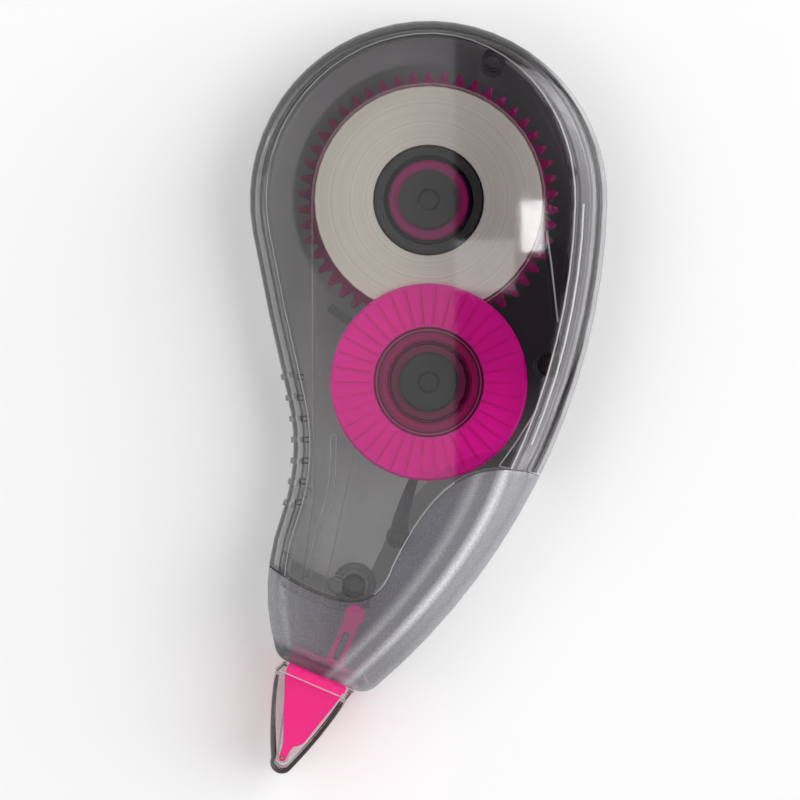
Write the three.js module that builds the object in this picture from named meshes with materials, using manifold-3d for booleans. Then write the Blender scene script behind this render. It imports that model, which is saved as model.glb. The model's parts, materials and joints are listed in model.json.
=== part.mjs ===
// Correction tape dispenser, lying on its back: a pear-shaped case of two clear smoky halves,
// a frosted nose, a geared supply reel and take-up reel, the tape, the applicator and its cap.
// Millimetres. X to the right, Y towards the round end, Z up out of the back face.
// The origin is on the back face, on the axis of the supply reel.

import * as THREE from 'three';
import { mergeVertices } from 'three/addons/utils/BufferGeometryUtils.js';
import Module from 'manifold-3d';

const wasm = await Module();
wasm.setup();

// Tape and gears
const tapeWidth = 5;
const tapeThickness = 0.18;
const tapeGap = 0.25;
const packRadius = 14.2;
const gearModule = 0.63;
const supplyTeeth = 50;
const takeUpTeeth = 22;
const pressureAngle = THREE.MathUtils.degToRad(20);
const gearBacklash = 0.16;
const gearThickness = 1.8;

// Clearances
const runGap = 0.3;
const seatGap = 0.3;
const meshGap = 0.2;
const sink = 0.1;

// Case in plan
const wall = 1.25;
const gearToDome = 5.85;
const flankRadius = 82;
const leftFlankRadius = 400;
const flangeToWaist = 4.5;
const waistBelowTakeUp = 7.9;
const waistRadius = 25.6;
const noseRadius = 26.1;
const leftCornerRadius = 2.4;
const rightCornerRadius = 2.8;
const mouthFaceRadius = 300;

// Case in section: the rounded band round the front face, and the one round the back
const frontRoom = 1.85;
const topBand = 1.7;
const leftBand = 2.1;
const rightBand = 4.1;
const frontRounding = 2.6;
const frontCrease = THREE.MathUtils.degToRad(68);
const backBand = 1.2;
const backRounding = 1.6;
const jointTongue = 1.0;

// Grip on the left side, at the waist
const gripRibs = 7;
const gripPitch = 2.6;
const gripRibWidth = 0.7;
const gripRibHeight = 0.3;
const gripRise = 0.75;

// Nose: the middle of its mouth as seen from the take-up axis, and its lean to the left
const mouthFromTakeUp = new THREE.Vector2(-13.6, -36.42);
const noseLean = THREE.MathUtils.degToRad(23.3);
const mouthLeftCorner = 5.5;
const mouthRightCorner = 6.25;

// Seam between the clear shells and the nose: a lobe below the take-up axis, to the left of it
const seamGap = 0.2;
const lobeDepth = 27.2;
const lobeAside = 9.6;
const lapLength = 2.3;
const lapThickness = 0.8;

// Reels
const axleRadius = 1.7;
const axleHeadRadius = 3.75;
const axleHeadHeight = 1;
const bossRadius = 3;
const hubRadius = 5;
const coreRadius = 6.7;
const coreWall = 1.1;
const clutchRadius = 0.4;
const flangeRadius = 12.3;
const flangeHoleRadius = 6.9;
const flangeThickness = 0.9;
const flangeRibs = 38;
const flangeRibHeight = 0.25;
const flangeRibWidth = 0.2;
const takeUpHubRadius = 5.75;
const takeUpHubWall = 0.9;
const spentRollThickness = 0.5;
const keyCount = 4;
const keyWidth = 0.9;
const edgeBreak = 0.3;

// Inside the case: sockets with pins, the tape's posts, the divider and the pawl
const nosePinFromTakeUp = new THREE.Vector2(-9.3, -25.4);
const flankPinFromTakeUp = new THREE.Vector2(14.9, 2.1);
const domePinGap = 2.6;
const domePinTurn = THREE.MathUtils.degToRad(25);
const socketRadius = 1.5;
const socketBore = 1.15;
const pinRadius = 0.85;
const pinReach = 3;
const feedPostRadius = 0.6;
const feedPostInset = 1.5;
const feedPostBelowWaist = 5.9;
const returnPostRadius = 1;
const returnPostAlong = 22.3;
const dividerAside = 11.85;
const dividerTop = 6.6;
const dividerLength = 17.8;
const dividerThickness = 0.7;
const pawlPivotAside = 3.8;
const pawlPivotBelow = 19.4;
const pawlPostRadius = 0.6;
const pawlEyeRadius = 1.5;
const pawlThickness = 1.1;
const pawlTipWidth = 1.2;
const stopLength = 3.8;
const stopWidth = 1.1;
const stopTurn = THREE.MathUtils.degToRad(233);

// Applicator and cap, in the nose's own frame: X along the mouth, Y out of the case backwards
const finThickness = 0.7;
const finLeft = 4;
const finRight = 3.6;
const finShoulder = 0.4;
const finStraight = 1.6;
const finRoot = 1.8;
const railWidth = 0.6;
const tipReach = 11.3;
const tipOffset = -0.15;
const tipRollerRadius = 0.45;
const tipAxleRadius = 0.18;
const earRadius = 0.45;
const stemAside = 1.1;
const stemHalf = 1.2;
const stemReach = 8.4;
const bulbRadius = 1.25;
const pegWidth = 0.45;
const pegLow = 2.6;
const pegHigh = 5.8;
const headRibWidth = 0.8;
const capWall = 0.9;
const capSideWall = 0.5;
const capLeftWall = 0.45;
const capTravelGap = 0.35;
const capHalfTop = 4.78;
const capShoulder = 5.35;
const capTop = -0.3;
const capFrontTop = -1.25;
const capTipRadius = 1.5;
const capBelly = 6;
const capEdgeBreak = 0.4;
const capTongueHalf = 3.6;
const capTongueReach = 2.4;

// Levels above the back face
const gearBottom = wall + 0.45;
const gearTop = gearBottom + gearThickness;
const tapeBottom = gearTop + 0.8;
const tapeTop = tapeBottom + tapeWidth;
const tapeMiddle = (tapeBottom + tapeTop) / 2;
const hubTop = tapeTop + runGap;
const flangeBottom = tapeTop + 0.4;
const flangeTop = flangeBottom + flangeThickness;
const headBottom = hubTop + runGap;
const headTop = headBottom + axleHeadHeight;
const caseDepth = headTop + frontRoom + wall;
const partingLevel = caseDepth / 2;
const rootLevel = wall - sink;
const socketTop = caseDepth - wall - 2.6;

// Sizes and places that follow
const supplyPitchRadius = gearModule * supplyTeeth / 2;
const takeUpPitchRadius = gearModule * takeUpTeeth / 2;
const axleDistance = supplyPitchRadius + takeUpPitchRadius;
const domeRadius = supplyPitchRadius + gearModule + gearToDome;
const waistSide = -(flangeRadius + flangeToWaist);
const supplyAxis = new THREE.Vector2(0, 0);
const takeUpAxis = new THREE.Vector2(0, -axleDistance);
const mouth = takeUpAxis.clone().add(mouthFromTakeUp);
const waistLevel = takeUpAxis.y - waistBelowTakeUp;

// Colours and finishes
const finishes = {
  clear: { color: 0x6f6f73, roughness: 0.12, metalness: 0, transparent: true, opacity: 0.4 },
  frosted: { color: 0x8a8a8f, roughness: 0.5, metalness: 0, transparent: true, opacity: 0.85 },
  magenta: { color: 0xb0106f, roughness: 0.3, metalness: 0 },
  pink: { color: 0xff2d8c, roughness: 0.35, metalness: 0 },
  dark: { color: 0x2c2c30, roughness: 0.4, metalness: 0 },
  tape: { color: 0xb5af9f, roughness: 0.6, metalness: 0 },
  film: { color: 0xe6e2d8, roughness: 0.7, metalness: 0 },
  rubber: { color: 0x3a3a3c, roughness: 0.8, metalness: 0 },
  steel: { color: 0xb8bcc0, roughness: 0.3, metalness: 1 },
};

// Solids: geometry in, geometry out, with joins and cuts between
function toSolid(geometry) {
  const bare = geometry.clone();
  bare.deleteAttribute('normal');
  bare.deleteAttribute('uv');
  const merged = mergeVertices(bare, 1e-5);
  const mesh = new wasm.Mesh({
    numProp: 3,
    vertProperties: new Float32Array(merged.attributes.position.array),
    triVerts: new Uint32Array(merged.index.array),
  });
  return new wasm.Manifold(mesh);
}

function toGeometry(solid) {
  const mesh = solid.getMesh();
  const geometry = new THREE.BufferGeometry();
  geometry.setAttribute('position', new THREE.BufferAttribute(mesh.vertProperties, 3));
  geometry.setIndex(new THREE.BufferAttribute(mesh.triVerts, 1));
  geometry.computeVertexNormals();
  return geometry;
}

function joined(first, ...others) {
  return others.reduce((sum, solid) => sum.add(solid), first);
}

function cutBy(first, ...others) {
  return others.reduce((rest, solid) => rest.subtract(solid), first);
}

// A shape drawn in plan, standing from one level to another
function prism(shape, low, high) {
  const settings = { depth: high - low, bevelEnabled: false, curveSegments: 8 };
  return new THREE.ExtrudeGeometry(shape, settings).translate(0, 0, low);
}

// A prism whose upper and lower edges are rounded by the given amount
function roundedPrism(shape, low, high, rounding) {
  const geometry = new THREE.ExtrudeGeometry(shape, {
    depth: high - low - 2 * rounding,
    bevelThickness: rounding,
    bevelSize: rounding,
    bevelOffset: -rounding,
    bevelSegments: 2,
    curveSegments: 8,
  });
  return geometry.translate(0, 0, low + rounding);
}

// A profile of [radius, level] points turned about an upright axis
function turned(profile, segments = 36) {
  const points = profile.map(([radius, level]) => new THREE.Vector2(radius, level));
  points.push(points[0].clone());
  return new THREE.LatheGeometry(points, segments).rotateX(Math.PI / 2);
}

function ring(inner, outer, low, high, segments = 36) {
  return turned([[inner, low], [outer, low], [outer, high], [inner, high]], segments);
}

function disc(radius, low, high, segments = 36) {
  const geometry = new THREE.CylinderGeometry(radius, radius, high - low, segments);
  return geometry.rotateX(Math.PI / 2).translate(0, 0, (low + high) / 2);
}

function at(geometry, place) {
  return geometry.translate(place.x, place.y, 0);
}

function slab(left, right, bottom, top, low, high) {
  const geometry = new THREE.BoxGeometry(right - left, top - bottom, high - low);
  return geometry.translate((left + right) / 2, (bottom + top) / 2, (low + high) / 2);
}

// From the nose's frame to the case's: turned by the lean and moved to the mouth
function inNose(geometry) {
  return geometry.rotateZ(-noseLean).translate(mouth.x, mouth.y, 0);
}

function fromNose(x, y) {
  return new THREE.Vector2(x, y).rotateAround(new THREE.Vector2(), -noseLean).add(mouth);
}

function toNose(place) {
  return place.clone().sub(mouth).rotateAround(new THREE.Vector2(), noseLean);
}

// Where two circles cross, on the given side of the line between their centres
function crossing(first, firstReach, second, secondReach, side) {
  const apart = second.clone().sub(first);
  const distance = apart.length();
  const along = (distance ** 2 + firstReach ** 2 - secondReach ** 2) / (2 * distance);
  const across = Math.sqrt(Math.max(firstReach ** 2 - along ** 2, 0)) * side;
  const direction = apart.divideScalar(distance);
  return new THREE.Vector2(
    first.x + direction.x * along - direction.y * across,
    first.y + direction.y * along + direction.x * across,
  );
}

// Outline of the case: arcs that run into each other, so each one's centre follows from its neighbours
function arc(centre, radius, steps, hollow = false) {
  return { centre, radius, steps, hollow };
}

function caseArcs() {
  const outward = new THREE.Vector2(-Math.sin(noseLean), -Math.cos(noseLean));
  const leftCorner = fromNose(-mouthLeftCorner, 0);
  const rightCorner = fromNose(mouthRightCorner, 0);
  const dome = arc(supplyAxis, domeRadius, 30);
  const face = arc(mouth.clone().addScaledVector(outward, -mouthFaceRadius), mouthFaceRadius, 2);
  const waist = arc(new THREE.Vector2(waistSide - waistRadius, waistLevel), waistRadius, 7, true);
  const flankReach = flankRadius - domeRadius;
  const flankCentre = crossing(dome.centre, flankReach, rightCorner, flankRadius, -1);
  const flank = arc(flankCentre, flankRadius, 15);
  const leftReach = leftFlankRadius - domeRadius;
  const leftCentre = crossing(dome.centre, leftReach, waist.centre, leftFlankRadius + waistRadius, 1);
  const leftFlank = arc(leftCentre, leftFlankRadius, 2);
  const noseReach = waistRadius + noseRadius;
  const noseSide = arc(crossing(waist.centre, noseReach, leftCorner, noseRadius, 1), noseRadius, 6);
  const corner = (side, radius, turn) => {
    return crossing(side.centre, side.radius - radius, face.centre, mouthFaceRadius - radius, turn);
  };
  const leftEnd = arc(corner(noseSide, leftCornerRadius, 1), leftCornerRadius, 4);
  const rightEnd = arc(corner(flank, rightCornerRadius, -1), rightCornerRadius, 5);
  return [dome, leftFlank, waist, noseSide, leftEnd, face, rightEnd, flank];
}

// The outward direction at the point where two neighbouring arcs run into each other
function jointDirection(before, after) {
  if (before.hollow) {
    return before.centre.clone().sub(after.centre).normalize();
  }
  if (after.hollow) {
    return after.centre.clone().sub(before.centre).normalize();
  }
  const [large, small] = before.radius > after.radius ? [before, after] : [after, before];
  return small.centre.clone().sub(large.centre).normalize();
}

// How far the outline can move inwards at a point before the tight corners by the mouth fold over
function roomAt(point, corners) {
  const share = 0.85;
  const widening = 0.5;
  const rooms = corners.map(({ centre, radius }) => {
    const past = Math.max(point.distanceTo(centre) - radius, 0);
    return share * radius + widening * past;
  });
  return Math.min(...rooms);
}

// Points of the outline, anticlockwise, each with its outward direction and its room inwards
function sampleOutline() {
  const arcs = caseArcs();
  const corners = arcs.filter(({ radius }) => radius === leftCornerRadius || radius === rightCornerRadius);
  const samples = [];
  arcs.forEach((current, index) => {
    const before = arcs[(index + arcs.length - 1) % arcs.length];
    const after = arcs[(index + 1) % arcs.length];
    const start = jointDirection(before, current).angle();
    const turn = jointDirection(current, after).angle() - start;
    const sweep = Math.atan2(Math.sin(turn), Math.cos(turn));
    const whole = index === 0 && sweep < 0 ? sweep + 2 * Math.PI : sweep;
    for (let step = 0; step < current.steps; step += 1) {
      const angle = start + whole * step / current.steps;
      const outward = new THREE.Vector2(Math.cos(angle), Math.sin(angle));
      const reach = current.hollow ? -current.radius : current.radius;
      const point = current.centre.clone().addScaledVector(outward, reach);
      samples.push({ point, outward, room: roomAt(point, corners) });
    }
  });
  return samples;
}

const outline = sampleOutline();

// Width of the rounded edge of the front face: narrow at the top, wide on the right
function bandWidth(outward) {
  const right = Math.max(outward.x, 0) ** 2;
  const left = Math.max(-outward.x, 0);
  return topBand + (rightBand - topBand) * right + (leftBand - topBand) * left;
}

// A closed body through rings of points, one above the other
function stacked(rings) {
  const count = rings[0].length;
  const positions = rings.flat().flatMap((point) => [point.x, point.y, point.z]);
  const faces = [];
  for (let level = 0; level < rings.length - 1; level += 1) {
    for (let index = 0; index < count; index += 1) {
      const here = level * count + index;
      const next = level * count + (index + 1) % count;
      faces.push(here, next, next + count, here, next + count, here + count);
    }
  }
  const top = (rings.length - 1) * count;
  const flat = (points) => points.map((point) => new THREE.Vector2(point.x, point.y));
  THREE.ShapeUtils.triangulateShape(flat(rings[0]), []).forEach(([a, b, c]) => {
    faces.push(a, c, b);
  });
  THREE.ShapeUtils.triangulateShape(flat(rings.at(-1)), []).forEach(([a, b, c]) => {
    faces.push(top + a, top + b, top + c);
  });
  const geometry = new THREE.BufferGeometry();
  geometry.setAttribute('position', new THREE.Float32BufferAttribute(positions, 3));
  geometry.setIndex(faces);
  return geometry;
}

// The case as one body, shrunk by the given depth on every side. The front edge ends in a soft
// crease at the flat face. An inner body keeps most of the outer one's band.
function caseBody(depth) {
  const backSteps = 2;
  const frontSteps = 4;
  const levels = [];
  const backLevel = Math.max(backRounding, depth + meshGap);
  const frontLevel = caseDepth - frontRounding;
  for (let step = 0; step <= backSteps; step += 1) {
    const angle = Math.PI / 2 * step / backSteps;
    levels.push({
      inset: () => depth + (backBand - 0.6 * depth) * (1 - Math.sin(angle)),
      level: depth + (backLevel - depth) * (1 - Math.cos(angle)),
    });
  }
  for (let step = 0; step <= frontSteps; step += 1) {
    const angle = frontCrease * step / frontSteps;
    const inwards = (1 - Math.cos(angle)) / (1 - Math.cos(frontCrease));
    levels.push({
      inset: (outward) => depth + (bandWidth(outward) - 0.6 * depth) * inwards,
      level: frontLevel + (caseDepth - depth - frontLevel) * Math.sin(angle) / Math.sin(frontCrease),
    });
  }
  const rings = levels.map(({ inset, level }) => outline.map(({ point, outward, room }) => {
    const moved = point.clone().addScaledVector(outward, -Math.min(inset(outward), room));
    return new THREE.Vector3(moved.x, moved.y, level);
  }));
  return stacked(rings);
}

// The seam between the clear shells and the nose, in plan, from the left edge to the right one
function seamPoints() {
  const path = new THREE.Path();
  path.moveTo(-2.5 * lobeAside, -0.743 * lobeDepth);
  path.lineTo(-2.135 * lobeAside, -0.82 * lobeDepth);
  path.quadraticCurveTo(-1.437 * lobeAside, -0.996 * lobeDepth, -lobeAside, -lobeDepth);
  path.quadraticCurveTo(-0.594 * lobeAside, -0.996 * lobeDepth, -0.458 * lobeAside, -0.842 * lobeDepth);
  path.quadraticCurveTo(-0.01 * lobeAside, -0.511 * lobeDepth, 0.479 * lobeAside, -0.434 * lobeDepth);
  path.quadraticCurveTo(0.896 * lobeAside, -0.364 * lobeDepth, 1.469 * lobeAside, -0.426 * lobeDepth);
  path.lineTo(2.5 * lobeAside, -0.54 * lobeDepth);
  return path.getPoints(7).map((point) => point.add(takeUpAxis));
}

function seamMoved(distance) {
  const points = seamPoints();
  return points.map((point, index) => {
    const before = points[Math.max(index - 1, 0)];
    const after = points[Math.min(index + 1, points.length - 1)];
    const along = after.clone().sub(before).normalize();
    return new THREE.Vector2(point.x - along.y * distance, point.y + along.x * distance);
  });
}

// Everything on the reel side of the seam, from the given distance above it
function reelSide(distance) {
  const far = domeRadius * 2;
  const points = seamMoved(distance);
  points.push(new THREE.Vector2(far, points.at(-1).y), new THREE.Vector2(far, far));
  points.push(new THREE.Vector2(-far, far), new THREE.Vector2(-far, points[0].y));
  return toSolid(prism(new THREE.Shape(points), -wall, caseDepth + wall));
}

function seamBand(low, high) {
  return reelSide(low).subtract(reelSide(high));
}

function between(low, high) {
  const far = domeRadius * 6;
  return toSolid(slab(-far, far, -far, far, low, high));
}

// Grip: ribs over the left edge at the waist, which follow the section of the case
function leftEdgeAt(level) {
  const side = outline.filter(({ point }) => point.x < waistSide / 2);
  const index = side.findIndex(({ point }) => point.y < level);
  const [above, below] = [side[index - 1], side[index]];
  const share = (above.point.y - level) / (above.point.y - below.point.y);
  return {
    point: above.point.clone().lerp(below.point, share),
    outward: above.outward.clone().lerp(below.outward, share).normalize(),
  };
}

function gripRibBodies() {
  const fuller = toSolid(caseBody(-gripRibHeight));
  const bodies = [];
  for (let rib = 0; rib < gripRibs; rib += 1) {
    const level = waistLevel + gripRise + gripPitch * ((gripRibs - 1) / 2 - rib);
    const { point, outward } = leftEdgeAt(level);
    const half = gripRibWidth / 2;
    const bar = slab(-leftBand / 2, leftBand, -half, half, backRounding, caseDepth - sink);
    bar.rotateZ(outward.angle() + Math.PI).translate(point.x, point.y, 0);
    bodies.push(fuller.intersect(toSolid(bar)));
  }
  return bodies;
}

// Where the shells are pinned together
const domePinReach = supplyPitchRadius + gearModule + domePinGap;
const pinPlaces = [
  takeUpAxis.clone().add(nosePinFromTakeUp),
  takeUpAxis.clone().add(flankPinFromTakeUp),
  new THREE.Vector2(0, domePinReach).rotateAround(supplyAxis, -domePinTurn),
];

// Path of the tape: the circles it bends round, with the way it turns at each
const feedPost = new THREE.Vector2(waistSide + feedPostInset, waistLevel - feedPostBelowWaist);
const tipAxis = fromNose(tipOffset, -tipReach);
const clear = tapeGap + tapeThickness / 2;
const tipClear = sink + tapeThickness / 2;
const spentRollRadius = takeUpHubRadius + seatGap + spentRollThickness;
const supplyStop = { centre: supplyAxis, radius: packRadius + clear, turn: 1 };
const feedStop = { centre: feedPost, radius: feedPostRadius + clear, turn: -1 };
const tipStop = { centre: tipAxis, radius: tipRollerRadius + tipClear, turn: 1 };
const takeUpStop = { centre: takeUpAxis, radius: spentRollRadius + seatGap + clear, turn: -1 };

// Heading of the straight run from one stop to the next
function heading(from, to) {
  const apart = to.centre.clone().sub(from.centre);
  const difference = to.turn * to.radius - from.turn * from.radius;
  return Math.atan2(apart.y, apart.x) - Math.asin(difference / apart.length());
}

const feedHeading = heading(supplyStop, feedStop);
const mouthHeading = heading(feedStop, tipStop);
const returnHeading = heading(tipStop, takeUpStop);
const tipHeading = (mouthHeading + returnHeading) / 2;
const wrapAngle = THREE.MathUtils.degToRad(300);
const tipCut = THREE.MathUtils.degToRad(6);

// The unit vector along a heading, and the one to its left
function along(angle) {
  return new THREE.Vector2(Math.cos(angle), Math.sin(angle));
}

function aside(angle) {
  return new THREE.Vector2(-Math.sin(angle), Math.cos(angle));
}

// A ribbon on edge, through a list of bends: each has a stop and the headings it turns between
function ribbon(bends) {
  const tightStep = THREE.MathUtils.degToRad(18);
  const wideStep = THREE.MathUtils.degToRad(10);
  const left = [];
  const right = [];
  bends.forEach(({ stop, from, to }) => {
    const step = stop.radius < hubRadius ? tightStep : wideStep;
    const count = Math.max(2, Math.ceil(Math.abs(to - from) / step));
    for (let index = 0; index <= count; index += 1) {
      const angle = from + (to - from) * index / count;
      const middle = stop.centre.clone().addScaledVector(aside(angle), -stop.turn * stop.radius);
      left.push(middle.clone().addScaledVector(aside(angle), tapeThickness / 2));
      right.push(middle.clone().addScaledVector(aside(angle), -tapeThickness / 2));
    }
  });
  return prism(new THREE.Shape([...right, ...left.reverse()]), tapeBottom, tapeTop);
}

function coatedTape() {
  return ribbon([
    { stop: supplyStop, from: feedHeading - wrapAngle, to: feedHeading },
    { stop: feedStop, from: feedHeading, to: mouthHeading },
    { stop: tipStop, from: mouthHeading, to: tipHeading - tipCut },
  ]);
}

function spentTape() {
  return ribbon([
    { stop: tipStop, from: tipHeading + tipCut, to: returnHeading },
    { stop: takeUpStop, from: returnHeading, to: returnHeading - wrapAngle },
  ]);
}

// The return post stands beside the run from the tip to the take-up reel
const returnPost = tipAxis.clone()
  .addScaledVector(aside(returnHeading), -tipStop.radius - returnPostRadius - clear)
  .addScaledVector(along(returnHeading), returnPostAlong);

// Divider between the two runs of tape: a thin wall on an S-shaped line below the take-up reel
function divider() {
  const bend = (sideways, down) => {
    return new THREE.Vector3(-dividerAside * sideways, -dividerTop - dividerLength * down, 0);
  };
  const line = new THREE.CatmullRomCurve3([bend(1, 0), bend(1.02, 0.33), bend(1.165, 0.71), bend(1.283, 1)]);
  const count = 12;
  const left = [];
  const right = [];
  for (let step = 0; step <= count; step += 1) {
    const place = line.getPoint(step / count);
    const tangent = line.getTangent(step / count);
    const offset = new THREE.Vector2(-tangent.y, tangent.x).multiplyScalar(dividerThickness / 2);
    left.push(new THREE.Vector2(place.x, place.y).add(offset));
    right.push(new THREE.Vector2(place.x, place.y).sub(offset));
  }
  const shape = new THREE.Shape([...right.reverse(), ...left]);
  return at(prism(shape, rootLevel, hubTop), takeUpAxis);
}

// Mouth opening in the nose, and the space that the cap and the head leave round themselves
const finInner = tapeWidth / 2 + tapeGap;
const finOuter = finInner + finThickness;
const capInner = finOuter + capTravelGap;
const capOuter = capInner + capWall;
const mouthSide = capHalfTop + sink;

function mouthOpening() {
  const low = tapeMiddle - capOuter - capTravelGap;
  const high = tapeMiddle + finOuter + 2 * runGap;
  const reach = capTongueReach + wall;
  return toSolid(inNose(slab(-mouthSide, mouthSide, -2 * wall, reach, low, high)));
}

// The two shells and the two nose covers, cut from one hollow case
const solidCase = joined(toSolid(caseBody(0)), ...gripRibBodies());
const hollow = toSolid(caseBody(wall));
const hollowCase = solidCase.subtract(hollow).subtract(mouthOpening());
const tongueSkin = wall * 0.62;
const tongueRoom = wall * 0.45;

function backHalf() {
  return between(-wall, partingLevel - meshGap / 2);
}

function frontHalf() {
  return between(partingLevel + meshGap / 2, caseDepth + wall);
}

// The rebate that runs round the top of the back half, and the tongue on the front half that enters it
function rebate() {
  const low = partingLevel - jointTongue - meshGap;
  return toSolid(caseBody(tongueRoom)).intersect(between(low, partingLevel + wall));
}

function tongue() {
  const lip = toSolid(caseBody(tongueSkin)).subtract(hollow);
  return lip.intersect(between(partingLevel - jointTongue, partingLevel + meshGap)).subtract(mouthOpening());
}

function noseHalf(solid) {
  return solid.subtract(reelSide(-seamGap / 2));
}

// The lap of a nose cover, which reaches behind the clear shell past the seam
function lap(low, high) {
  const outer = wall + seamGap;
  const inside = toSolid(caseBody(outer + lapThickness));
  const reach = toSolid(caseBody(outer)).subtract(inside).intersect(seamBand(-wall, lapLength));
  const foot = toSolid(caseBody(rootLevel)).subtract(inside).intersect(seamBand(-wall, -seamGap / 2));
  return joined(reach, foot).intersect(between(low, high));
}

function post(place, radius, low, high, segments = 20) {
  return toSolid(at(disc(radius, low, high, segments), place));
}

function tube(place, inner, outer, low, high, segments) {
  return toSolid(at(ring(inner, outer, low, high, segments), place));
}

// A short upright stop beside the supply gear, along its rim
function stopBar() {
  const near = supplyPitchRadius + gearModule + stopWidth;
  const far = near + stopWidth;
  const bar = slab(near, far, -stopLength / 2, stopLength / 2, rootLevel, tapeMiddle);
  return toSolid(bar.rotateZ(stopTurn));
}

// A rib that ties the socket on the right to the side wall, below the joint of the shells
function socketGusset() {
  const place = pinPlaces[1];
  const half = dividerThickness / 2;
  const near = place.x + socketBore + sink;
  const far = place.x + socketRadius + 2 * wall;
  const ribTop = partingLevel - jointTongue - 2 * meshGap;
  const rib = slab(near, far, place.y - half, place.y + half, rootLevel, ribTop);
  return toSolid(rib).intersect(toSolid(caseBody(rootLevel)));
}

// Pawl: the thin arm's post, its seat and its level under the pinion's teeth
const pawlPivot = takeUpAxis.clone().add(new THREE.Vector2(-pawlPivotAside, -pawlPivotBelow));
const pawlLow = gearBottom + 0.5;

function backShell() {
  const shell = hollowCase.intersect(backHalf()).intersect(reelSide(seamGap / 2)).subtract(rebate());
  const bossTop = hubTop - runGap - sink;
  const bosses = [supplyAxis, takeUpAxis].map((axis) => {
    return tube(axis, axleRadius + meshGap, bossRadius, rootLevel, bossTop, 28);
  });
  const sockets = pinPlaces.map((place) => tube(place, socketBore, socketRadius, rootLevel, socketTop, 20));
  const posts = [
    post(feedPost, feedPostRadius, rootLevel, hubTop, 14),
    post(returnPost, returnPostRadius, rootLevel, hubTop, 16),
    post(pawlPivot, pawlPostRadius, rootLevel, pawlLow + 2 * pawlThickness, 14),
    post(pawlPivot, pawlEyeRadius - seatGap, rootLevel, pawlLow - seatGap, 16),
  ];
  return joined(shell, ...bosses, ...sockets, ...posts, toSolid(divider()), stopBar(), socketGusset());
}

function frontShell() {
  const shell = hollowCase.intersect(frontHalf()).intersect(reelSide(seamGap / 2));
  const pins = pinPlaces.map((place) => {
    const pin = post(place, pinRadius, socketTop - pinReach, caseDepth - rootLevel, 16);
    const shoulder = post(place, socketRadius, socketTop + seatGap, caseDepth - rootLevel);
    return joined(pin, shoulder);
  });
  const lip = tongue().intersect(reelSide(seamGap / 2));
  return joined(shell, lip, ...pins);
}

// A tab on the back nose cover that reaches over the shell's floor and round its lowest socket
function lockingTab() {
  const place = pinPlaces[0];
  const low = wall + meshGap;
  const high = low + lapThickness;
  const eyeRadius = socketRadius + wall;
  const neckHalf = 0.7 * eyeRadius;
  const neckReach = 1.85 * eyeRadius;
  const footReach = 1.1 * eyeRadius;
  const eye = toSolid(at(disc(eyeRadius, low, high, 24), place));
  const neck = toSolid(at(slab(-neckHalf, neckHalf, -neckReach, 0, low, high), place));
  const foot = toSolid(at(slab(-neckHalf, neckHalf, -neckReach, -footReach, rootLevel, high), place));
  const hole = post(place, socketRadius + meshGap, 0, partingLevel);
  const besidePost = post(returnPost, returnPostRadius + meshGap, 0, partingLevel);
  return cutBy(joined(eye, neck, foot), hole, besidePost);
}

// The flat peg in the nose that the applicator's stem slides over
function headPeg() {
  const half = pegWidth / 2;
  return toSolid(inNose(slab(stemAside - half, stemAside + half, pegLow, pegHigh, rootLevel, tapeTop)));
}

function backNoseCover() {
  const cover = noseHalf(hollowCase.intersect(backHalf()).subtract(rebate()));
  const lapped = lap(backRounding + lapThickness, partingLevel - jointTongue - meshGap);
  return joined(cover, lapped.subtract(mouthOpening()), headPeg(), lockingTab());
}

function frontNoseCover() {
  const cover = noseHalf(hollowCase.intersect(frontHalf()));
  const lip = noseHalf(tongue());
  const pinHole = post(pinPlaces[0], socketRadius + meshGap, partingLevel, caseDepth);
  const lapped = lap(partingLevel + meshGap / 2, caseDepth).subtract(pinHole);
  return joined(cover, lip, lapped);
}

// Gears: involute flanks, with the middle of one tooth or one gap at the given angle
function gearShape(teeth, middle) {
  const pitchRadius = gearModule * teeth / 2;
  const baseRadius = pitchRadius * Math.cos(pressureAngle);
  const tipRadius = pitchRadius + gearModule * 0.95;
  const rootRadius = pitchRadius - gearModule * 1.25;
  const flankStart = Math.max(baseRadius, rootRadius);
  const rootFillet = gearModule * 0.1 / pitchRadius;
  const involute = (radius) => {
    const angle = Math.acos(Math.min(1, baseRadius / radius));
    return Math.tan(angle) - angle;
  };
  const pitchHalf = Math.PI / (2 * teeth) - gearBacklash / (4 * pitchRadius);
  const half = (radius) => pitchHalf + involute(pitchRadius) - involute(radius);
  const flank = [pitchRadius, tipRadius].map((radius) => [radius, half(radius)]);
  flank.unshift([rootRadius, half(flankStart) + rootFillet]);
  const points = [];
  for (let tooth = 0; tooth < teeth; tooth += 1) {
    const centre = middle + tooth * 2 * Math.PI / teeth;
    const rising = flank.map(([radius, angle]) => [radius, centre - angle]);
    const falling = flank.map(([radius, angle]) => [radius, centre + angle]).reverse();
    [...rising, ...falling].forEach(([radius, angle]) => {
      points.push(new THREE.Vector2(radius * Math.cos(angle), radius * Math.sin(angle)));
    });
  }
  return new THREE.Shape(points);
}

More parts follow.
